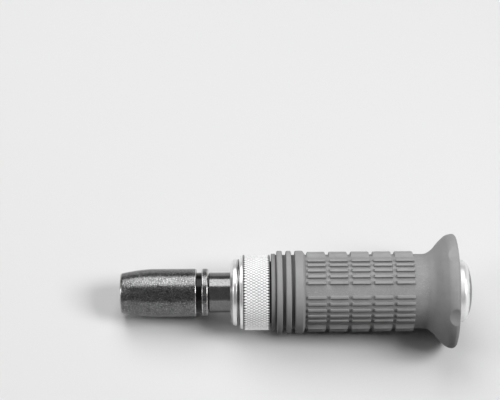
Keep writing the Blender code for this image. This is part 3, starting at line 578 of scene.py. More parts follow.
low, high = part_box("spindle")
tip_x, spindle_rear_x = low.x, high.x
bush_low, bush_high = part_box("front_bush")
journal_x = holder_rear_x + JOURNAL_GAP
shoulder_x = bush_high.x + SHOULDER_GAP
spindle = turned("spindle_forging", [
    (journal_x, 0.0, 0.0),
    (journal_x, JOURNAL_RADIUS, JOURNAL_ROUNDING),
    (shoulder_x, JOURNAL_RADIUS, 0.0),
    (shoulder_x, SHOULDER_RADIUS, SHOULDER_ROUNDING),
    (shoulder_x + SHOULDER_LENGTH, SHOULDER_RADIUS, SHOULDER_ROUNDING),
    (shoulder_x + SHOULDER_LENGTH, JOURNAL_RADIUS, 0.0),
    (spindle_rear_x, JOURNAL_RADIUS, JOURNAL_ROUNDING),
    (spindle_rear_x, 0.0, 0.0),
], SPINDLE_SIDES)
square = bar_stock("square_drive", 4, DRIVE_SQUARE, tip_x, shoulder_x, DRIVE_ROLL)
softened(square, DRIVE_CHAMFER, DRIVE_CHAMFER_STEPS)
combine(spindle, square, "UNION")
pin_low, pin_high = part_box("cross_pin")
combine(spindle, radial_bit(
    "pin_hole", PIN_HOLE_RADIUS, -PIN_HOLE_REACH, PIN_HOLE_REACH,
    (pin_low.x + pin_high.x) / 2, -CAM_TURN,
), "DIFFERENCE")
combine(spindle, radial_bit(
    "ball_hole", BALL_HOLE_RADIUS, *BALL_HOLE_ENDS, tip_x + BALL_FROM_TIP, DRIVE_ROLL,
), "DIFFERENCE")

oiled_steel, tree, shader = new_material("oiled_steel", {"Metallic": 1.0})
rings, bands = lathed(tree, rings_per_metre=2600.0)
clouds, specks = handled(tree, cloud_scale=330.0, speck_scale=1500.0)
steel = mixed(tree, clouds, *OILED_STEEL)
steel = mixed(tree, specks, steel, OILED_SPECKS)
feed(tree, shader, {
    "Base Color": mixed(tree, bands, steel, OILED_BANDS),
    "Roughness": between(tree, clouds, *OILED_ROUGHNESS),
    "Normal": dented(tree, rings, distance=0.000006, strength=0.6),
})

dressed(spindle, oiled_steel)
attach(spindle, "spindle")
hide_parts("spindle")


# Detent ball: a hardened bearing ball in a hole of the square drive, with a spring under it.
# It presses against the square socket and so holds the bit holder on the drive.
BALL_RADIUS = 0.0023
BALL_CUTS = 9
BALL_STEEL = (0.6, 0.6, 0.6), (0.74, 0.74, 0.75)
BALL_ROUGHNESS = 0.1

low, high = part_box("detent_ball")
bpy.ops.mesh.primitive_cube_add(size=BALL_RADIUS, location=(low + high) / 2)
detent_ball = named("detent_ball_polished")
bpy.ops.object.mode_set(mode="EDIT")
bpy.ops.mesh.subdivide(number_cuts=BALL_CUTS)
bpy.ops.transform.tosphere(value=1.0)
bpy.ops.object.mode_set(mode="OBJECT")
grow = BALL_RADIUS / detent_ball.data.vertices[0].co.length
detent_ball.scale = (grow, grow, grow)

bearing_steel, tree, shader = new_material("bearing_steel", {
    "Metallic": 1.0, "Roughness": BALL_ROUGHNESS,
})
clouds, _ = handled(tree, cloud_scale=700.0, speck_scale=2600.0)
feed(tree, shader, {"Base Color": mixed(tree, clouds, *BALL_STEEL)})

dressed(detent_ball, bearing_steel)
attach(detent_ball, "ball")
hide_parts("detent_ball")


# Front bush: a gland turned from steel and chromed, with the spindle's bearing in its bore.
# Its spigot is screwed into the barrel, and its flange clamps washer and collar.
BUSH_SIDES = 160
BUSH_RADIUS = 0.0153
BUSH_FRONT_DROP = 0.0023
BUSH_FRONT_BEVEL = 0.0013
BUSH_FLANGE = 0.0031
BUSH_BORE = 0.0095
BUSH_SPIGOT = 0.0117
BUSH_MOUTH_ROUNDING = 0.0005
BUSH_BEVEL_ROUNDING = 0.0004
BUSH_ROUNDING = 0.0003
SEAL_GROOVE_RADIUS = 0.0109
SEAL_GROOVE = 0.0066, 0.0086
BUSH_CHROME = (0.74, 0.74, 0.75), (0.86, 0.86, 0.86)
BUSH_ROUGHNESS = 0.28, 0.38

front_bush = turned("front_bush_chromed", [
    (bush_low.x, BUSH_BORE, BUSH_MOUTH_ROUNDING),
    (bush_low.x, BUSH_RADIUS - BUSH_FRONT_DROP, BUSH_ROUNDING),
    (bush_low.x + BUSH_FRONT_BEVEL, BUSH_RADIUS, BUSH_BEVEL_ROUNDING),
    (bush_low.x + BUSH_FLANGE, BUSH_RADIUS, BUSH_ROUNDING),
    (bush_low.x + BUSH_FLANGE, BUSH_SPIGOT, 0.0),
    (bush_high.x, BUSH_SPIGOT, 0.0),
    (bush_high.x, BUSH_BORE, 0.0),
    (bush_low.x + SEAL_GROOVE[1], BUSH_BORE, 0.0),
    (bush_low.x + SEAL_GROOVE[1], SEAL_GROOVE_RADIUS, 0.0),
    (bush_low.x + SEAL_GROOVE[0], SEAL_GROOVE_RADIUS, 0.0),
    (bush_low.x + SEAL_GROOVE[0], BUSH_BORE, 0.0),
    (bush_low.x, BUSH_BORE, 0.0),
], BUSH_SIDES)

chromed, tree, shader = new_material("chromed_steel", {"Metallic": 1.0})
rings, _ = lathed(tree, rings_per_metre=3400.0)
clouds, _ = handled(tree, cloud_scale=210.0, speck_scale=1300.0)
feed(tree, shader, {
    "Base Color": mixed(tree, clouds, *BUSH_CHROME),
    "Roughness": between(tree, clouds, *BUSH_ROUGHNESS),
    "Normal": dented(tree, rings, distance=0.000004, strength=0.6),
})

dressed(front_bush, chromed)
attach(front_bush, "housing")
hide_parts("front_bush")


# Lock washer: a thin stamped ring between the bush's flange and the collar. Near both its
# sides, where it meets them, its colour is darkened as painted shade in the seams.
WASHER_SIDES = 128
WASHER_BORE = 0.0120
WASHER_FRONT_ROUNDING = 0.0001
WASHER_REAR_ROUNDING = 0.0002
WASHER_SEAM = 0.0006
WASHER_SEAM_COVER = 1.0
GROUND_STEEL = (0.30, 0.30, 0.30), (0.50, 0.50, 0.50)
GROUND_BANDS = (0.42, 0.42, 0.42)
GROUND_ROUGHNESS = 0.12, 0.24
SEAM_SHADE = (0.02, 0.02, 0.02)

low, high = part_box("lock_washer")
lock_washer = turned("lock_washer_stamped", [
    (low.x, WASHER_BORE, 0.0),
    (low.x, high.z, WASHER_FRONT_ROUNDING),
    (high.x, high.z, WASHER_REAR_ROUNDING),
    (high.x, WASHER_BORE, 0.0),
    (low.x, WASHER_BORE, 0.0),
], WASHER_SIDES)

ground_steel, tree, shader = new_material("ground_steel", {"Metallic": 1.0})
rings, bands = lathed(tree, rings_per_metre=2600.0)
clouds, _ = handled(tree, cloud_scale=330.0, speck_scale=1500.0)
# Painted shade in the seams: the washer is darkened near both its sides.
seam_shade = wear_and_shade_at(tree, (low.x, high.x), WASHER_SEAM, WASHER_SEAM_COVER)
steel = mixed(tree, clouds, *GROUND_STEEL)
steel = mixed(tree, bands, steel, GROUND_BANDS)
feed(tree, shader, {
    "Base Color": mixed(tree, seam_shade, steel, SEAM_SHADE),
    "Roughness": between(tree, clouds, *GROUND_ROUGHNESS),
    "Normal": dented(tree, rings, distance=0.00001, strength=0.8),
})

dressed(lock_washer, ground_steel)
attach(lock_washer, "housing")
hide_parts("lock_washer")


# Knurled collar: screwed over the barrel's front end. Its lip is smooth and polished, and the
# diamonds behind it are rolled in, then chromed.
COLLAR_RADIUS = 0.0175
COLLAR_BORE = 0.0145
COLLAR_LIP_RADIUS = 0.0168
COLLAR_LIP_BORE = 0.0120
COLLAR_LIP_BAND = 0.0011
COLLAR_LIP_LENGTH = 0.0030
COLLAR_LIP_ROUNDING = 0.0004
COLLAR_EDGE = 0.0004
COLLAR_REAR_EDGE = 0.0002
KNURL_DEPTH = 0.00030
KNURL_FLAT = 0.00036
KNURL_ROUND = 79
KNURL_ROWS = 10
VALLEY, PEAK = 0, 1
KNURL_SMOOTH_ANGLE = math.radians(10.0)
KNURL_CHROME = (0.90, 0.90, 0.91), (0.98, 0.98, 0.98)
KNURL_VALLEY_SHADE = (0.12, 0.12, 0.12)
KNURL_METALLIC = 0.9
LIP_AND_KNURL_ROUGHNESS = 0.28, 0.62

low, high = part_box("knurled_collar")
collar_x, collar_rear_x = low.x, high.x
valley = COLLAR_RADIUS - KNURL_DEPTH
knurl_x = collar_x + COLLAR_LIP_BAND + COLLAR_EDGE
knurl_rear_x = collar_rear_x - COLLAR_REAR_EDGE
knurl_pitch = (knurl_rear_x - knurl_x) / KNURL_ROWS
knurled_collar = turned("knurled_collar_rolled", [
    (collar_x, COLLAR_LIP_BORE, 0.0),
    (collar_x, COLLAR_LIP_RADIUS, COLLAR_LIP_ROUNDING),
    (collar_x + COLLAR_LIP_BAND, COLLAR_LIP_RADIUS, 0.0),
    *[(knurl_x + row * knurl_pitch, valley, 0.0) for row in range(KNURL_ROWS + 1)],
    (collar_rear_x, COLLAR_LIP_RADIUS, 0.0),
    (collar_rear_x, COLLAR_BORE, 0.0),
    (collar_x + COLLAR_LIP_LENGTH, COLLAR_BORE, 0.0),
    (collar_x + COLLAR_LIP_LENGTH, COLLAR_LIP_BORE, 0.0),
    (collar_x, COLLAR_LIP_BORE, 0.0),
], 2 * KNURL_ROUND)


def on_knurl(vert, kind):
    """Whether a point of the blank is a valley of its grid, or a peak off the two end rows."""
    if abs(math.hypot(vert.co.y, vert.co.z) - valley) > MERGE:
        return False
    row = round((vert.co.x - knurl_x) / knurl_pitch)
    column = round(math.atan2(-vert.co.y, vert.co.z) / math.tau * 2 * KNURL_ROUND)
    if kind == PEAK and row in (0, KNURL_ROWS):
        return False
    return (row + column) % 2 == kind


bpy.ops.object.mode_set(mode="EDIT")
pick(knurled_collar, "verts", lambda vert: on_knurl(vert, VALLEY))
bpy.ops.mesh.vert_connect()
pick(knurled_collar, "verts", lambda vert: on_knurl(vert, PEAK))
grow = COLLAR_RADIUS / valley
bpy.ops.transform.resize(value=(1.0, grow, grow), center_override=(0, 0, 0))
bpy.ops.mesh.bevel(offset=KNURL_FLAT, segments=1, affect="VERTICES")
bpy.ops.object.mode_set(mode="OBJECT")

knurl_chrome, tree, shader = new_material("knurl_chrome", {"Metallic": KNURL_METALLIC})
clouds, _ = handled(tree, cloud_scale=190.0, speck_scale=1300.0)
along, radius = from_axis(tree)
# Painted shade: the knurl's valleys, and the collar's rear edge at the gap before the grip, are
# coloured dark.
knurl_shade = ranged(tree, radius, valley + KNURL_DEPTH / 4, valley)
behind_lip = ranged(tree, along, knurl_x - COLLAR_EDGE, knurl_x)
at_rear = ranged(tree, along, knurl_rear_x, knurl_rear_x + COLLAR_REAR_EDGE / 2)
knurl_shade = maths(tree, "MULTIPLY", knurl_shade, behind_lip)
knurl_shade = maths(tree, "MAXIMUM", knurl_shade, at_rear)
chrome = mixed(tree, clouds, *KNURL_CHROME)
feed(tree, shader, {
    "Base Color": mixed(tree, knurl_shade, chrome, KNURL_VALLEY_SHADE),
    "Roughness": between(tree, behind_lip, *LIP_AND_KNURL_ROUGHNESS),
})

dressed(knurled_collar, knurl_chrome, KNURL_SMOOTH_ANGLE)
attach(knurled_collar, "housing")
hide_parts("knurled_collar")


# Rubber grip: one moulding, bonded on the barrel. Three ribs stop the hand in front, thirty
# rows of bars give hold, and the flared guard shields the hand from the hammer.
GRIP_SIDES = 240
GRIP_BASE = 0.0171
GRIP_BORE = 0.0145
FOOT_ROUNDING = 0.0002
LIP_HEIGHT = 0.0006
LIP_WIDTH = 0.0019
LIP_GAP = 0.00045
LIP_ROUNDING = 0.0003
LIP_REAR_SLOPE = 0.0001
RIB_HEIGHT = 0.0019
RIB_WIDTHS = (0.0029, 0.0028, 0.0041)
RIB_GAP = 0.0013
RIB_FLANK = 0.0003
RIB_ROUNDING = 0.0004
LAST_RIB_SLOPE = 0.0009
GUARD_RADIUS = 0.0264
GUARD_RIM = 0.0043
GUARD_FLARE = 0.0115
GUARD_EDGE = 0.0018
FLARE_SHARES = (
    (0.0, 0.0), (0.17, 0.02), (0.31, 0.11), (0.45, 0.24), (0.59, 0.44),
    (0.73, 0.64), (0.87, 0.80), (0.95, 0.885), (1.03, 0.94), (1.12, 0.98), (1.22, 1.0),
)
FLARE_STEPS = 4
RECESS_RADIUS = 0.0178
RECESS_DEPTH = 0.0006
RECESS_ROUNDING = 0.0003
BAR_GROUPS = 6
BARS_IN_GROUP = 5
BAR_COLUMNS = 5
BAR_FROM_RIBS = 0.0003
BAR_LENGTH = 0.0093
BAR_PITCH = 0.01008
BAR_HEIGHT = 0.00135
BAR_ROOT = 0.0008
BAR_FOOT = 0.0020
BAR_CROWN = 0.0013
BAR_FRONT_SLOPE = 0.0006
BAR_REAR_SLOPE = 0.0007
BAR_ROUNDING = 0.0003
BAR_ROUNDING_STEPS = 2
UPWARD = 0.9
BAR_ANGLE = math.radians(9.7)
MOULD_SLIDES = 3
GROUPS_PER_SLIDE = 2
SLIDE_MIDDLE = 0.25
MOULD_LEAN = 0.8
SCALLOP_TURNS = math.radians(-6.5), math.radians(59.5)
SCALLOP_WIDTH = 0.0102
SCALLOP_DEPTH = 0.0011
SCALLOP_ROUNDING = 0.0008
SCALLOP_EDGE_ANGLE = math.radians(12.0)
SCOOP_SIDES = 192
SCOOP_MATCH = 0.0001
RUBBER = (0.28, 0.28, 0.28), (0.34, 0.34, 0.34)
RUBBER_SPECKS = (0.38, 0.38, 0.38)
RUBBER_LIT_CREST = (0.33, 0.33, 0.33), (0.39, 0.39, 0.39)
RUBBER_GROOVE_SHADE = (0.11, 0.11, 0.11)
RUBBER_ROUGHNESS = 0.55, 0.72
RUBBER_SHEEN = 0.3
CREST_HEIGHTS = -0.0001, 0.0011
GROOVE_SHADE_HEIGHTS = 0.0012, 0.0002
GROOVE_SHADE_FADE = 0.0012

low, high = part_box("rubber_grip")
grip_x, grip_rear_x = low.x, high.x
first_rib_x = grip_x + LIP_WIDTH + LIP_GAP
section = [
    (grip_x, GRIP_BORE, 0.0),
    (grip_x, GRIP_BASE + LIP_HEIGHT, LIP_ROUNDING),
    (grip_x + LIP_WIDTH, GRIP_BASE + LIP_HEIGHT, LIP_ROUNDING),
    (grip_x + LIP_WIDTH + LIP_REAR_SLOPE, GRIP_BASE, FOOT_ROUNDING),
]
x = first_rib_x
for number, width in enumerate(RIB_WIDTHS, start=1):
    slope = LAST_RIB_SLOPE if number == len(RIB_WIDTHS) else 0.0
    section += [
        (x, GRIP_BASE, FOOT_ROUNDING),
        (x + RIB_FLANK, GRIP_BASE + RIB_HEIGHT, RIB_ROUNDING),
        (x + width - RIB_FLANK, GRIP_BASE + RIB_HEIGHT, RIB_ROUNDING),
        (x + width + slope, GRIP_BASE, FOOT_ROUNDING),
    ]
    x += width + RIB_GAP
first_bar_x = x - RIB_GAP + LAST_RIB_SLOPE + BAR_FROM_RIBS
flare_x = grip_rear_x - GUARD_RIM - GUARD_FLARE
section += [
    (flare_x + along * GUARD_FLARE, GRIP_BASE + up * (GUARD_RADIUS - GRIP_BASE), 0.0)
    for along, up in curved(FLARE_SHARES, FLARE_STEPS)
]
section += [
    (grip_rear_x, GUARD_RADIUS, GUARD_EDGE),
    (grip_rear_x, RECESS_RADIUS, RECESS_ROUNDING),
    (grip_rear_x - RECESS_DEPTH, RECESS_RADIUS - RECESS_DEPTH, FOOT_ROUNDING),
    (grip_rear_x - RECESS_DEPTH, GRIP_BORE, 0.0),
    (grip_x, GRIP_BORE, 0.0),
]
rubber_grip = turned("rubber_grip_moulded", section, GRIP_SIDES)

half = SCALLOP_WIDTH / 2
scoop_radius = (half ** 2 + SCALLOP_DEPTH ** 2) / (2 * SCALLOP_DEPTH)
reach = GUARD_RADIUS + scoop_radius - SCALLOP_DEPTH
scoop_turns = [
    math.tau * slide / MOULD_SLIDES + turn
    for slide in range(MOULD_SLIDES) for turn in SCALLOP_TURNS
]
for turn in scoop_turns:
    bpy.ops.mesh.primitive_cylinder_add(
        vertices=SCOOP_SIDES, radius=scoop_radius, depth=2 * GUARD_FLARE,
        rotation=(0, math.pi / 2, 0),
        location=(grip_rear_x, -reach * math.sin(turn), reach * math.cos(turn)),
    )
    combine(rubber_grip, named("scoop"), "DIFFERENCE")


def on_scoop(vert):
    """Whether a point lies on the round wall of a scoop."""
    away = min(
        math.hypot(vert.co.y + reach * math.sin(turn), vert.co.z - reach * math.cos(turn))
        for turn in scoop_turns
    )
    return abs(away - scoop_radius) < SCOOP_MATCH and vert.co.x > flare_x


only(rubber_grip)
bpy.ops.object.mode_set(mode="EDIT")
pick(rubber_grip, "edges", lambda edge: (
    all(on_scoop(vert) for vert in edge.verts) and len(edge.link_faces) == 2
    and edge.calc_face_angle() > SCALLOP_EDGE_ANGLE
))
bpy.ops.mesh.bevel(
    offset=SCALLOP_ROUNDING, segments=CORNER_STEPS, affect="EDGES", clamp_overlap=True,
)
bpy.ops.object.mode_set(mode="OBJECT")

bar_top = GRIP_BASE + BAR_HEIGHT
bar_bottom = GRIP_BASE - BAR_ROOT
bar_x = first_bar_x + BAR_LENGTH / 2
bpy.ops.mesh.primitive_cube_add(
    size=1.0, scale=(BAR_LENGTH, BAR_FOOT, bar_top - bar_bottom),
    location=(bar_x, 0.0, (bar_top + bar_bottom) / 2),
)
bar = named("bar")
bpy.ops.object.transform_apply(location=True, rotation=True, scale=True)
bpy.ops.object.mode_set(mode="EDIT")
pick(bar, "faces", lambda face: face.normal.z > UPWARD)
crown = (
    (BAR_LENGTH - BAR_FRONT_SLOPE - BAR_REAR_SLOPE) / BAR_LENGTH, BAR_CROWN / BAR_FOOT, 1.0,
)
bpy.ops.transform.resize(
    value=crown,
    center_override=(bar_x + (BAR_FRONT_SLOPE - BAR_REAR_SLOPE) / 2, 0.0, bar_top),
)
pick(bar, "edges", lambda edge: max(vert.co.z for vert in edge.verts) > bar_top - MERGE)
bpy.ops.mesh.bevel(offset=BAR_ROUNDING, segments=BAR_ROUNDING_STEPS, affect="EDGES")
bpy.ops.object.mode_set(mode="OBJECT")


def copied(piece, name):
    """A copy of a piece, with a mesh of its own."""
    copy = bpy.data.objects.new(name, piece.data.copy())
    bpy.context.scene.collection.objects.link(copy)
    return copy


bars = []
for group in range(BAR_GROUPS):
    slide = math.tau * (group // GROUPS_PER_SLIDE + SLIDE_MIDDLE) / MOULD_SLIDES
    for number in range(BARS_IN_GROUP):
        turn = math.tau * group / BAR_GROUPS + (number - (BARS_IN_GROUP - 1) / 2) * BAR_ANGLE
        lean = (bar_top - bar_bottom) * math.tan(MOULD_LEAN * (turn - slide))
        leaning = copied(bar, "leaning_bar")
        only(leaning)
        bpy.ops.object.mode_set(mode="EDIT")
        pick(leaning, "verts", lambda vert: vert.co.z < bar_bottom + MERGE)
        bpy.ops.transform.translate(value=(0.0, -lean, 0.0))
        bpy.ops.object.mode_set(mode="OBJECT")
        for column in range(BAR_COLUMNS):
            copy = copied(leaning, "bar")
            copy.matrix_world = (
                Matrix.Translation((column * BAR_PITCH, 0, 0)) @ Matrix.Rotation(turn, 4, "X")
            )
            bars.append(copy)
        bpy.data.objects.remove(leaning)
bpy.data.objects.remove(bar)
only(rubber_grip)
for copy in bars:
    copy.select_set(True)
bpy.ops.object.join()

grip_rubber, tree, shader = new_material("grip_rubber", {"Specular IOR Level": RUBBER_SHEEN})
clouds, specks = handled(tree, cloud_scale=120.0, speck_scale=2400.0)
along, radius = from_axis(tree)
# Painted light and shade: raised parts, such as bar and rib crests, are coloured lighter than
# the base between them.
raised = ranged(tree, radius, *[GRIP_BASE + height for height in CREST_HEIGHTS])
# Painted shade: the low surface among the ribs is coloured darker.
low_down = ranged(tree, radius, *[GRIP_BASE + height for height in GROOVE_SHADE_HEIGHTS])
among_ribs = ranged(tree, along, first_bar_x, first_bar_x - GROOVE_SHADE_FADE)
groove_shade = maths(tree, "MULTIPLY", low_down, among_ribs)
base = mixed(tree, clouds, *RUBBER)
base = mixed(tree, specks, base, RUBBER_SPECKS)
base = mixed(tree, groove_shade, base, RUBBER_GROOVE_SHADE)
lit_crest = mixed(tree, clouds, *RUBBER_LIT_CREST)
grain = put(tree, "TexNoise", {
    "Vector": on_piece(tree), "Scale": 2600.0, "Detail": 3.0,
}).outputs["Fac"]
feed(tree, shader, {
    "Base Color": mixed(tree, raised, base, lit_crest),
    "Roughness": between(tree, clouds, *RUBBER_ROUGHNESS),
    "Normal": dented(tree, grain, distance=0.00004, strength=0.7),
})

dressed(rubber_grip, grip_rubber)
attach(rubber_grip, "housing")
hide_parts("rubber_grip")


# Struck cap: a hardened steel plug, held in the barrel's rear end by a rolled pin. The hammer
# has worn the chrome off the middle of its polished dome.
CAP_SIDES = 128
CAP_RADIUS = 0.0142
CAP_FLAT_RADIUS = 0.0040
CAP_SIDE_REAR = 0.00435
CAP_DOME_STEPS = 14
CAP_BURIED = 0.0054
CAP_PLUG_RADIUS = 0.0117
CAP_PLUG_ROUNDING = 0.0008
ROLL_PIN_HOLE_RADIUS = 0.0023
ROLL_PIN_HOLE_REACH = 0.0152
ROLL_PIN_HOLE_SHIFT = 0.0001
CAP_WORN_RADIUS = 0.0124
CAP_WORN_EDGE = 0.0008
CAP_CHROME = (0.86, 0.86, 0.87), (0.95, 0.95, 0.95)
CAP_BARE_STEEL = (0.13, 0.13, 0.13), (0.2, 0.2, 0.2)
CAP_METALLIC = 0.9
CAP_ROUGHNESS = 0.42, 0.3

low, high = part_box("strike_cap")
plug_x, struck_x = low.x, high.x
head_x = grip_rear_x - CAP_BURIED
last = math.acos(CAP_FLAT_RADIUS / CAP_RADIUS)
rise = CAP_SIDE_REAR / math.sin(last)
strike_cap = turned("strike_cap_polished", [
    (plug_x, 0.0, 0.0),
    (plug_x, CAP_PLUG_RADIUS, CAP_PLUG_ROUNDING),
    (head_x, CAP_PLUG_RADIUS, 0.0),
    (head_x, CAP_RADIUS, 0.0),
    *[
        (
            struck_x - CAP_SIDE_REAR + rise * math.sin(last * step / CAP_DOME_STEPS),
            CAP_RADIUS * math.cos(last * step / CAP_DOME_STEPS), 0.0,
        )
        for step in range(CAP_DOME_STEPS + 1)
    ],
    (struck_x, 0.0, 0.0),
], CAP_SIDES)
pin_low, pin_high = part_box("cap_roll_pin")
combine(strike_cap, radial_bit(
    "roll_pin_hole", ROLL_PIN_HOLE_RADIUS, -ROLL_PIN_HOLE_REACH, ROLL_PIN_HOLE_REACH,
    (pin_low.x + pin_high.x) / 2 + ROLL_PIN_HOLE_SHIFT, 0.0,
), "DIFFERENCE")

struck_chrome, tree, shader = new_material("struck_chrome", {"Metallic": CAP_METALLIC})
clouds, _ = handled(tree, cloud_scale=320.0, speck_scale=1500.0)
_, radius = from_axis(tree)
ragged = maths(tree, "ADD", radius, between(tree, clouds, 0.0, CAP_WORN_EDGE))
worn = ranged(
    tree, ragged, CAP_WORN_RADIUS + CAP_WORN_EDGE, CAP_WORN_RADIUS - CAP_WORN_EDGE,
    interpolation_type="SMOOTHSTEP",
)
chrome = mixed(tree, clouds, *CAP_CHROME)
bare = mixed(tree, clouds, *CAP_BARE_STEEL)
dents = put(tree, "TexVoronoi", {"Vector": on_piece(tree), "Scale": 420.0})
dents = maths(tree, "MULTIPLY", dents.outputs["Distance"], worn)
feed(tree, shader, {
    "Base Color": mixed(tree, worn, chrome, bare),
    "Roughness": between(tree, worn, *CAP_ROUGHNESS),
    "Normal": dented(tree, dents, distance=0.00008, strength=0.5),
})

dressed(strike_cap, struck_chrome)
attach(strike_cap, "housing")
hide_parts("strike_cap")


# Barrel: a steel tube under the grip. It shows only in the narrow gap behind the collar, where
# its colour is painted near black and dull as shade in the gap.
BARREL_STEEL = (0.34, 0.34, 0.34), (0.5, 0.5, 0.5)
BARREL_GAP_SHADE = (0.02, 0.02, 0.02)
BARREL_GAP_SHADE_FADE = 0.0006, 0.0012
BARREL_ROUGHNESS = 0.85, 0.3
BARREL_SHEEN = 0.2

gap_shaded_steel, tree, shader = new_material("gap_shaded_steel", {"Specular IOR Level": BARREL_SHEEN})
clouds, _ = handled(tree, cloud_scale=300.0, speck_scale=1500.0)
along, _ = from_axis(tree)
# Painted shade: near the middle of the gap the barrel is coloured near black and not metallic.
from_gap = maths(tree, "SUBTRACT", along, (collar_rear_x + grip_x) / 2)
unshaded = ranged(tree, maths(tree, "ABSOLUTE", from_gap), *BARREL_GAP_SHADE_FADE)
feed(tree, shader, {
    "Base Color": mixed(tree, unshaded, BARREL_GAP_SHADE, mixed(tree, clouds, *BARREL_STEEL)),
    "Metallic": unshaded,
    "Roughness": between(tree, unshaded, *BARREL_ROUGHNESS),
})
frame["nodes"]["barrel"].material_slots[0].material = gap_shaded_steel


# Main spring: oil-tempered wire coiled with closer turns at both ends. It stands between its
# two plates. The real one shortens as the spindle is pushed in, but this one keeps one length.
SPRING_WIRE_RADIUS = 0.0013
SPRING_WIRE_STEPS = 4
SPRING_TURNS = 5
SPRING_END_TURNS = 1
SPRING_END_PITCH = 0.0033
SPRING_STEPS = 48
OILY_WIRE = (0.16, 0.15, 0.14), (0.30, 0.29, 0.28)
OILY_SPECKS = (0.10, 0.09, 0.08)
OILY_ROUGHNESS = 0.2, 0.4

low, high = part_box("main_spring")
spring_length = high.x - low.x
coil_radius = high.z - SPRING_WIRE_RADIUS
pitch = (spring_length - 2 * SPRING_WIRE_RADIUS - 2 * SPRING_END_TURNS * SPRING_END_PITCH) / (
    SPRING_TURNS - 2 * SPRING_END_TURNS
)
coil = []
for step in range(SPRING_TURNS * SPRING_STEPS + 1):
    turn = step / SPRING_STEPS
    closed = min(turn, SPRING_END_TURNS) + max(turn - SPRING_TURNS + SPRING_END_TURNS, 0.0)
    coil.append(Vector((
        low.x + SPRING_WIRE_RADIUS + closed * SPRING_END_PITCH + (turn - closed) * pitch,
        coil_radius * math.sin(math.tau * turn), coil_radius * math.cos(math.tau * turn),
    )))
main_spring = drawn("main_spring_coiled", coil)
bpy.ops.object.mode_set(mode="OBJECT")
bpy.ops.object.convert(target="CURVE")
main_spring.data.bevel_depth = SPRING_WIRE_RADIUS
main_spring.data.bevel_resolution = SPRING_WIRE_STEPS
main_spring.data.use_fill_caps = True
bpy.ops.object.convert(target="MESH")
bpy.ops.object.mode_set(mode="EDIT")
merged(DOUBLES)
bpy.ops.object.mode_set(mode="OBJECT")

oily_wire, tree, shader = new_material("oily_wire", {"Metallic": 1.0})
clouds, specks = handled(tree, cloud_scale=260.0, speck_scale=1900.0)
feed(tree, shader, {
    "Base Color": mixed(tree, specks, mixed(tree, clouds, *OILY_WIRE), OILY_SPECKS),
    "Roughness": between(tree, clouds, *OILY_ROUGHNESS),
    "Normal": dented(tree, specks, distance=0.00002, strength=0.5),
})

dressed(main_spring, oily_wire)
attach(main_spring, "housing")
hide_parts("main_spring")
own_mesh(main_spring)


# Cam sleeve, pins and plates: bare steel that stays inside the tool. The spring under the
# detent ball is bright wire.
for node in (
    "cam_sleeve", "cam_dowel_1", "cam_dowel_2", "cross_pin", "cap_roll_pin", "spring_seat",
    "spring_follower",
):
    frame["nodes"][node].material_slots[0].material = ground_steel
frame["nodes"]["detent_spring"].material_slots[0].material = spring_wire


# Dust seal: a moulded ring of black rubber that lies in a groove of the bush's bore. It is
# greased where it runs on the journal.
SEAL_RUBBER = (0.015, 0.015, 0.016), (0.03, 0.03, 0.03)
SEAL_ROUGHNESS = 0.3, 0.55
SEAL_SHEEN = 0.4

seal_rubber, tree, shader = new_material("seal_rubber", {"Specular IOR Level": SEAL_SHEEN})
clouds, _ = handled(tree, cloud_scale=400.0, speck_scale=2400.0)
feed(tree, shader, {
    "Base Color": mixed(tree, clouds, *SEAL_RUBBER),
    "Roughness": between(tree, clouds, *SEAL_ROUGHNESS),
})
frame["nodes"]["dust_seal"].material_slots[0].material = seal_rubber


# Floor: a plain pale sheet that fades out far from the tool and throws little light back up.
# The tool lies on it with its guard and its first rib.
FLOOR_SIZE = 2.4
FLOOR_FADE = 0.35, 1.1
FLOOR_PALE = (0.8, 0.8, 0.8)
FLOOR_TO_TOOL = (0.06, 0.06, 0.06)
FLOOR_ROUGHNESS = 0.9

first_rest = Vector((first_rib_x, 0.0, -(GRIP_BASE + RIB_HEIGHT)))
last_rest = Vector((grip_rear_x - GUARD_EDGE, 0.0, -GUARD_RADIUS))
slope = math.atan2(first_rest.z - last_rest.z, last_rest.x - first_rest.x)
bpy.ops.mesh.primitive_plane_add(size=FLOOR_SIZE)
floor = named("floor")
floor.matrix_world = Matrix.Translation(last_rest) @ Matrix.Rotation(slope, 4, "Y")

floor_paper, tree, shader = new_material("floor_paper", {
    "Roughness": FLOOR_ROUGHNESS, "Specular IOR Level": 0.0,
})
rays = put(tree, "LightPath").outputs
seen = maths(tree, "MAXIMUM", rays["Is Camera Ray"], rays["Is Glossy Ray"])
seen = maths(tree, "MAXIMUM", seen, rays["Is Transmission Ray"])
from_tool = put(tree, "VectorMath", {0: on_piece(tree)}, operation="LENGTH").outputs["Value"]
feed(tree, shader, {
    "Base Color": mixed(tree, seen, FLOOR_TO_TOOL, FLOOR_PALE),
    "Alpha": ranged(
        tree, from_tool, *FLOOR_FADE, 1.0, 0.0, interpolation_type="SMOOTHSTEP",
    ),
})
floor.data.materials.append(floor_paper)


# Light: a softbox on either side in front of the tool, a larger one overhead and behind it, and
# a white backdrop that ends above the horizon, so that metal shows its edge.
# Each softbox has its name, its direction from the tool, its size and its watts
SOFTBOXES = (
    ("right_softbox", (0.68, -0.18, 0.71), (0.50, 0.40), 6.2),
    ("left_softbox", (-0.78, -0.16, 0.60), (0.50, 0.40), 2.5),
    ("rear_softbox", (-0.15, 0.47, 0.88), (0.70, 0.85), 6.1),
)
WHITE = (1.0, 1.0, 1.0, 1.0)
SURROUND = 0.04
BACKDROP = 1.0
BACKDROP_TOP = 0.05, 0.30
STUDIO_IN_METAL = 0.25

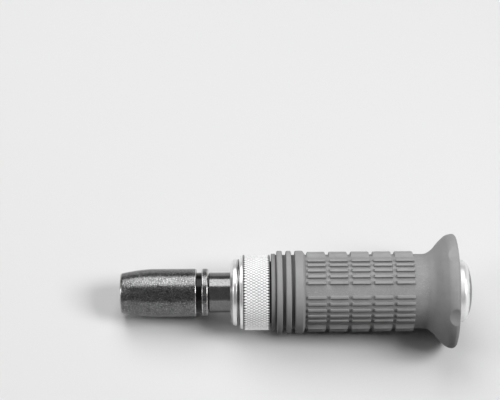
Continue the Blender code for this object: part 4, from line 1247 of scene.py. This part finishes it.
for name, direction, size, power in SOFTBOXES:
    toward = Vector(direction).normalized()
    lamp = bpy.data.lights.new(name, "AREA")
    lamp.shape = "RECTANGLE"
    lamp.size, lamp.size_y = size
    lamp.energy = power
    softbox = bpy.data.objects.new(name, lamp)
    bpy.context.scene.collection.objects.link(softbox)
    along = toward.cross((1, 0, 0)).normalized()
    facing = Matrix((along.cross(toward), along, toward)).transposed()
    softbox.matrix_world = Matrix.Translation(toward) @ facing.to_4x4()

world = bpy.data.worlds.new("surround")
bpy.context.scene.world = world
world.use_nodes = True
tree = world.node_tree
tree.nodes.clear()
rays = put(tree, "LightPath").outputs
shown = maths(tree, "MAXIMUM", rays["Is Camera Ray"], rays["Is Transmission Ray"])
ray = put(tree, "SeparateXYZ", {"Vector": put(tree, "TexCoord").outputs["Generated"]})
in_metal = ranged(
    tree, ray.outputs["Z"], *BACKDROP_TOP, BACKDROP, STUDIO_IN_METAL,
    interpolation_type="SMOOTHSTEP",
)
surround, mirrored, backdrop = (
    put(tree, "Background", {"Color": WHITE, "Strength": strength}).outputs[0]
    for strength in (SURROUND, in_metal, BACKDROP)
)
chosen = put(tree, "MixShader", {0: rays["Is Glossy Ray"], 1: surround, 2: mirrored})
chosen = put(tree, "MixShader", {0: shown, 1: chosen.outputs[0], 2: backdrop})
put(tree, "OutputWorld", {"Surface": chosen.outputs[0]})


# Camera: a long lens high in front of the tool. It is rolled a little, so that the tool rises
# to the right.
CAMERA_PLACE = (-0.0209, -0.43896, 0.70107)
CAMERA_LENS = 129.0
CAMERA_NEAR = 0.01
CAMERA_PITCH = math.radians(35.0)
CAMERA_ROLL = math.radians(-0.4)

camera = bpy.data.cameras.new("camera")
camera.lens = CAMERA_LENS
camera.clip_start = CAMERA_NEAR
camera_object = bpy.data.objects.new("camera", camera)
bpy.context.scene.collection.objects.link(camera_object)
camera_object.matrix_world = (
    Matrix.Translation(CAMERA_PLACE) @ Matrix.Rotation(CAMERA_PITCH, 4, "X")
    @ Matrix.Rotation(CAMERA_ROLL, 4, "Z")
)
bpy.context.scene.camera = camera_object
bpy.context.scene.view_settings.view_transform = "Standard"
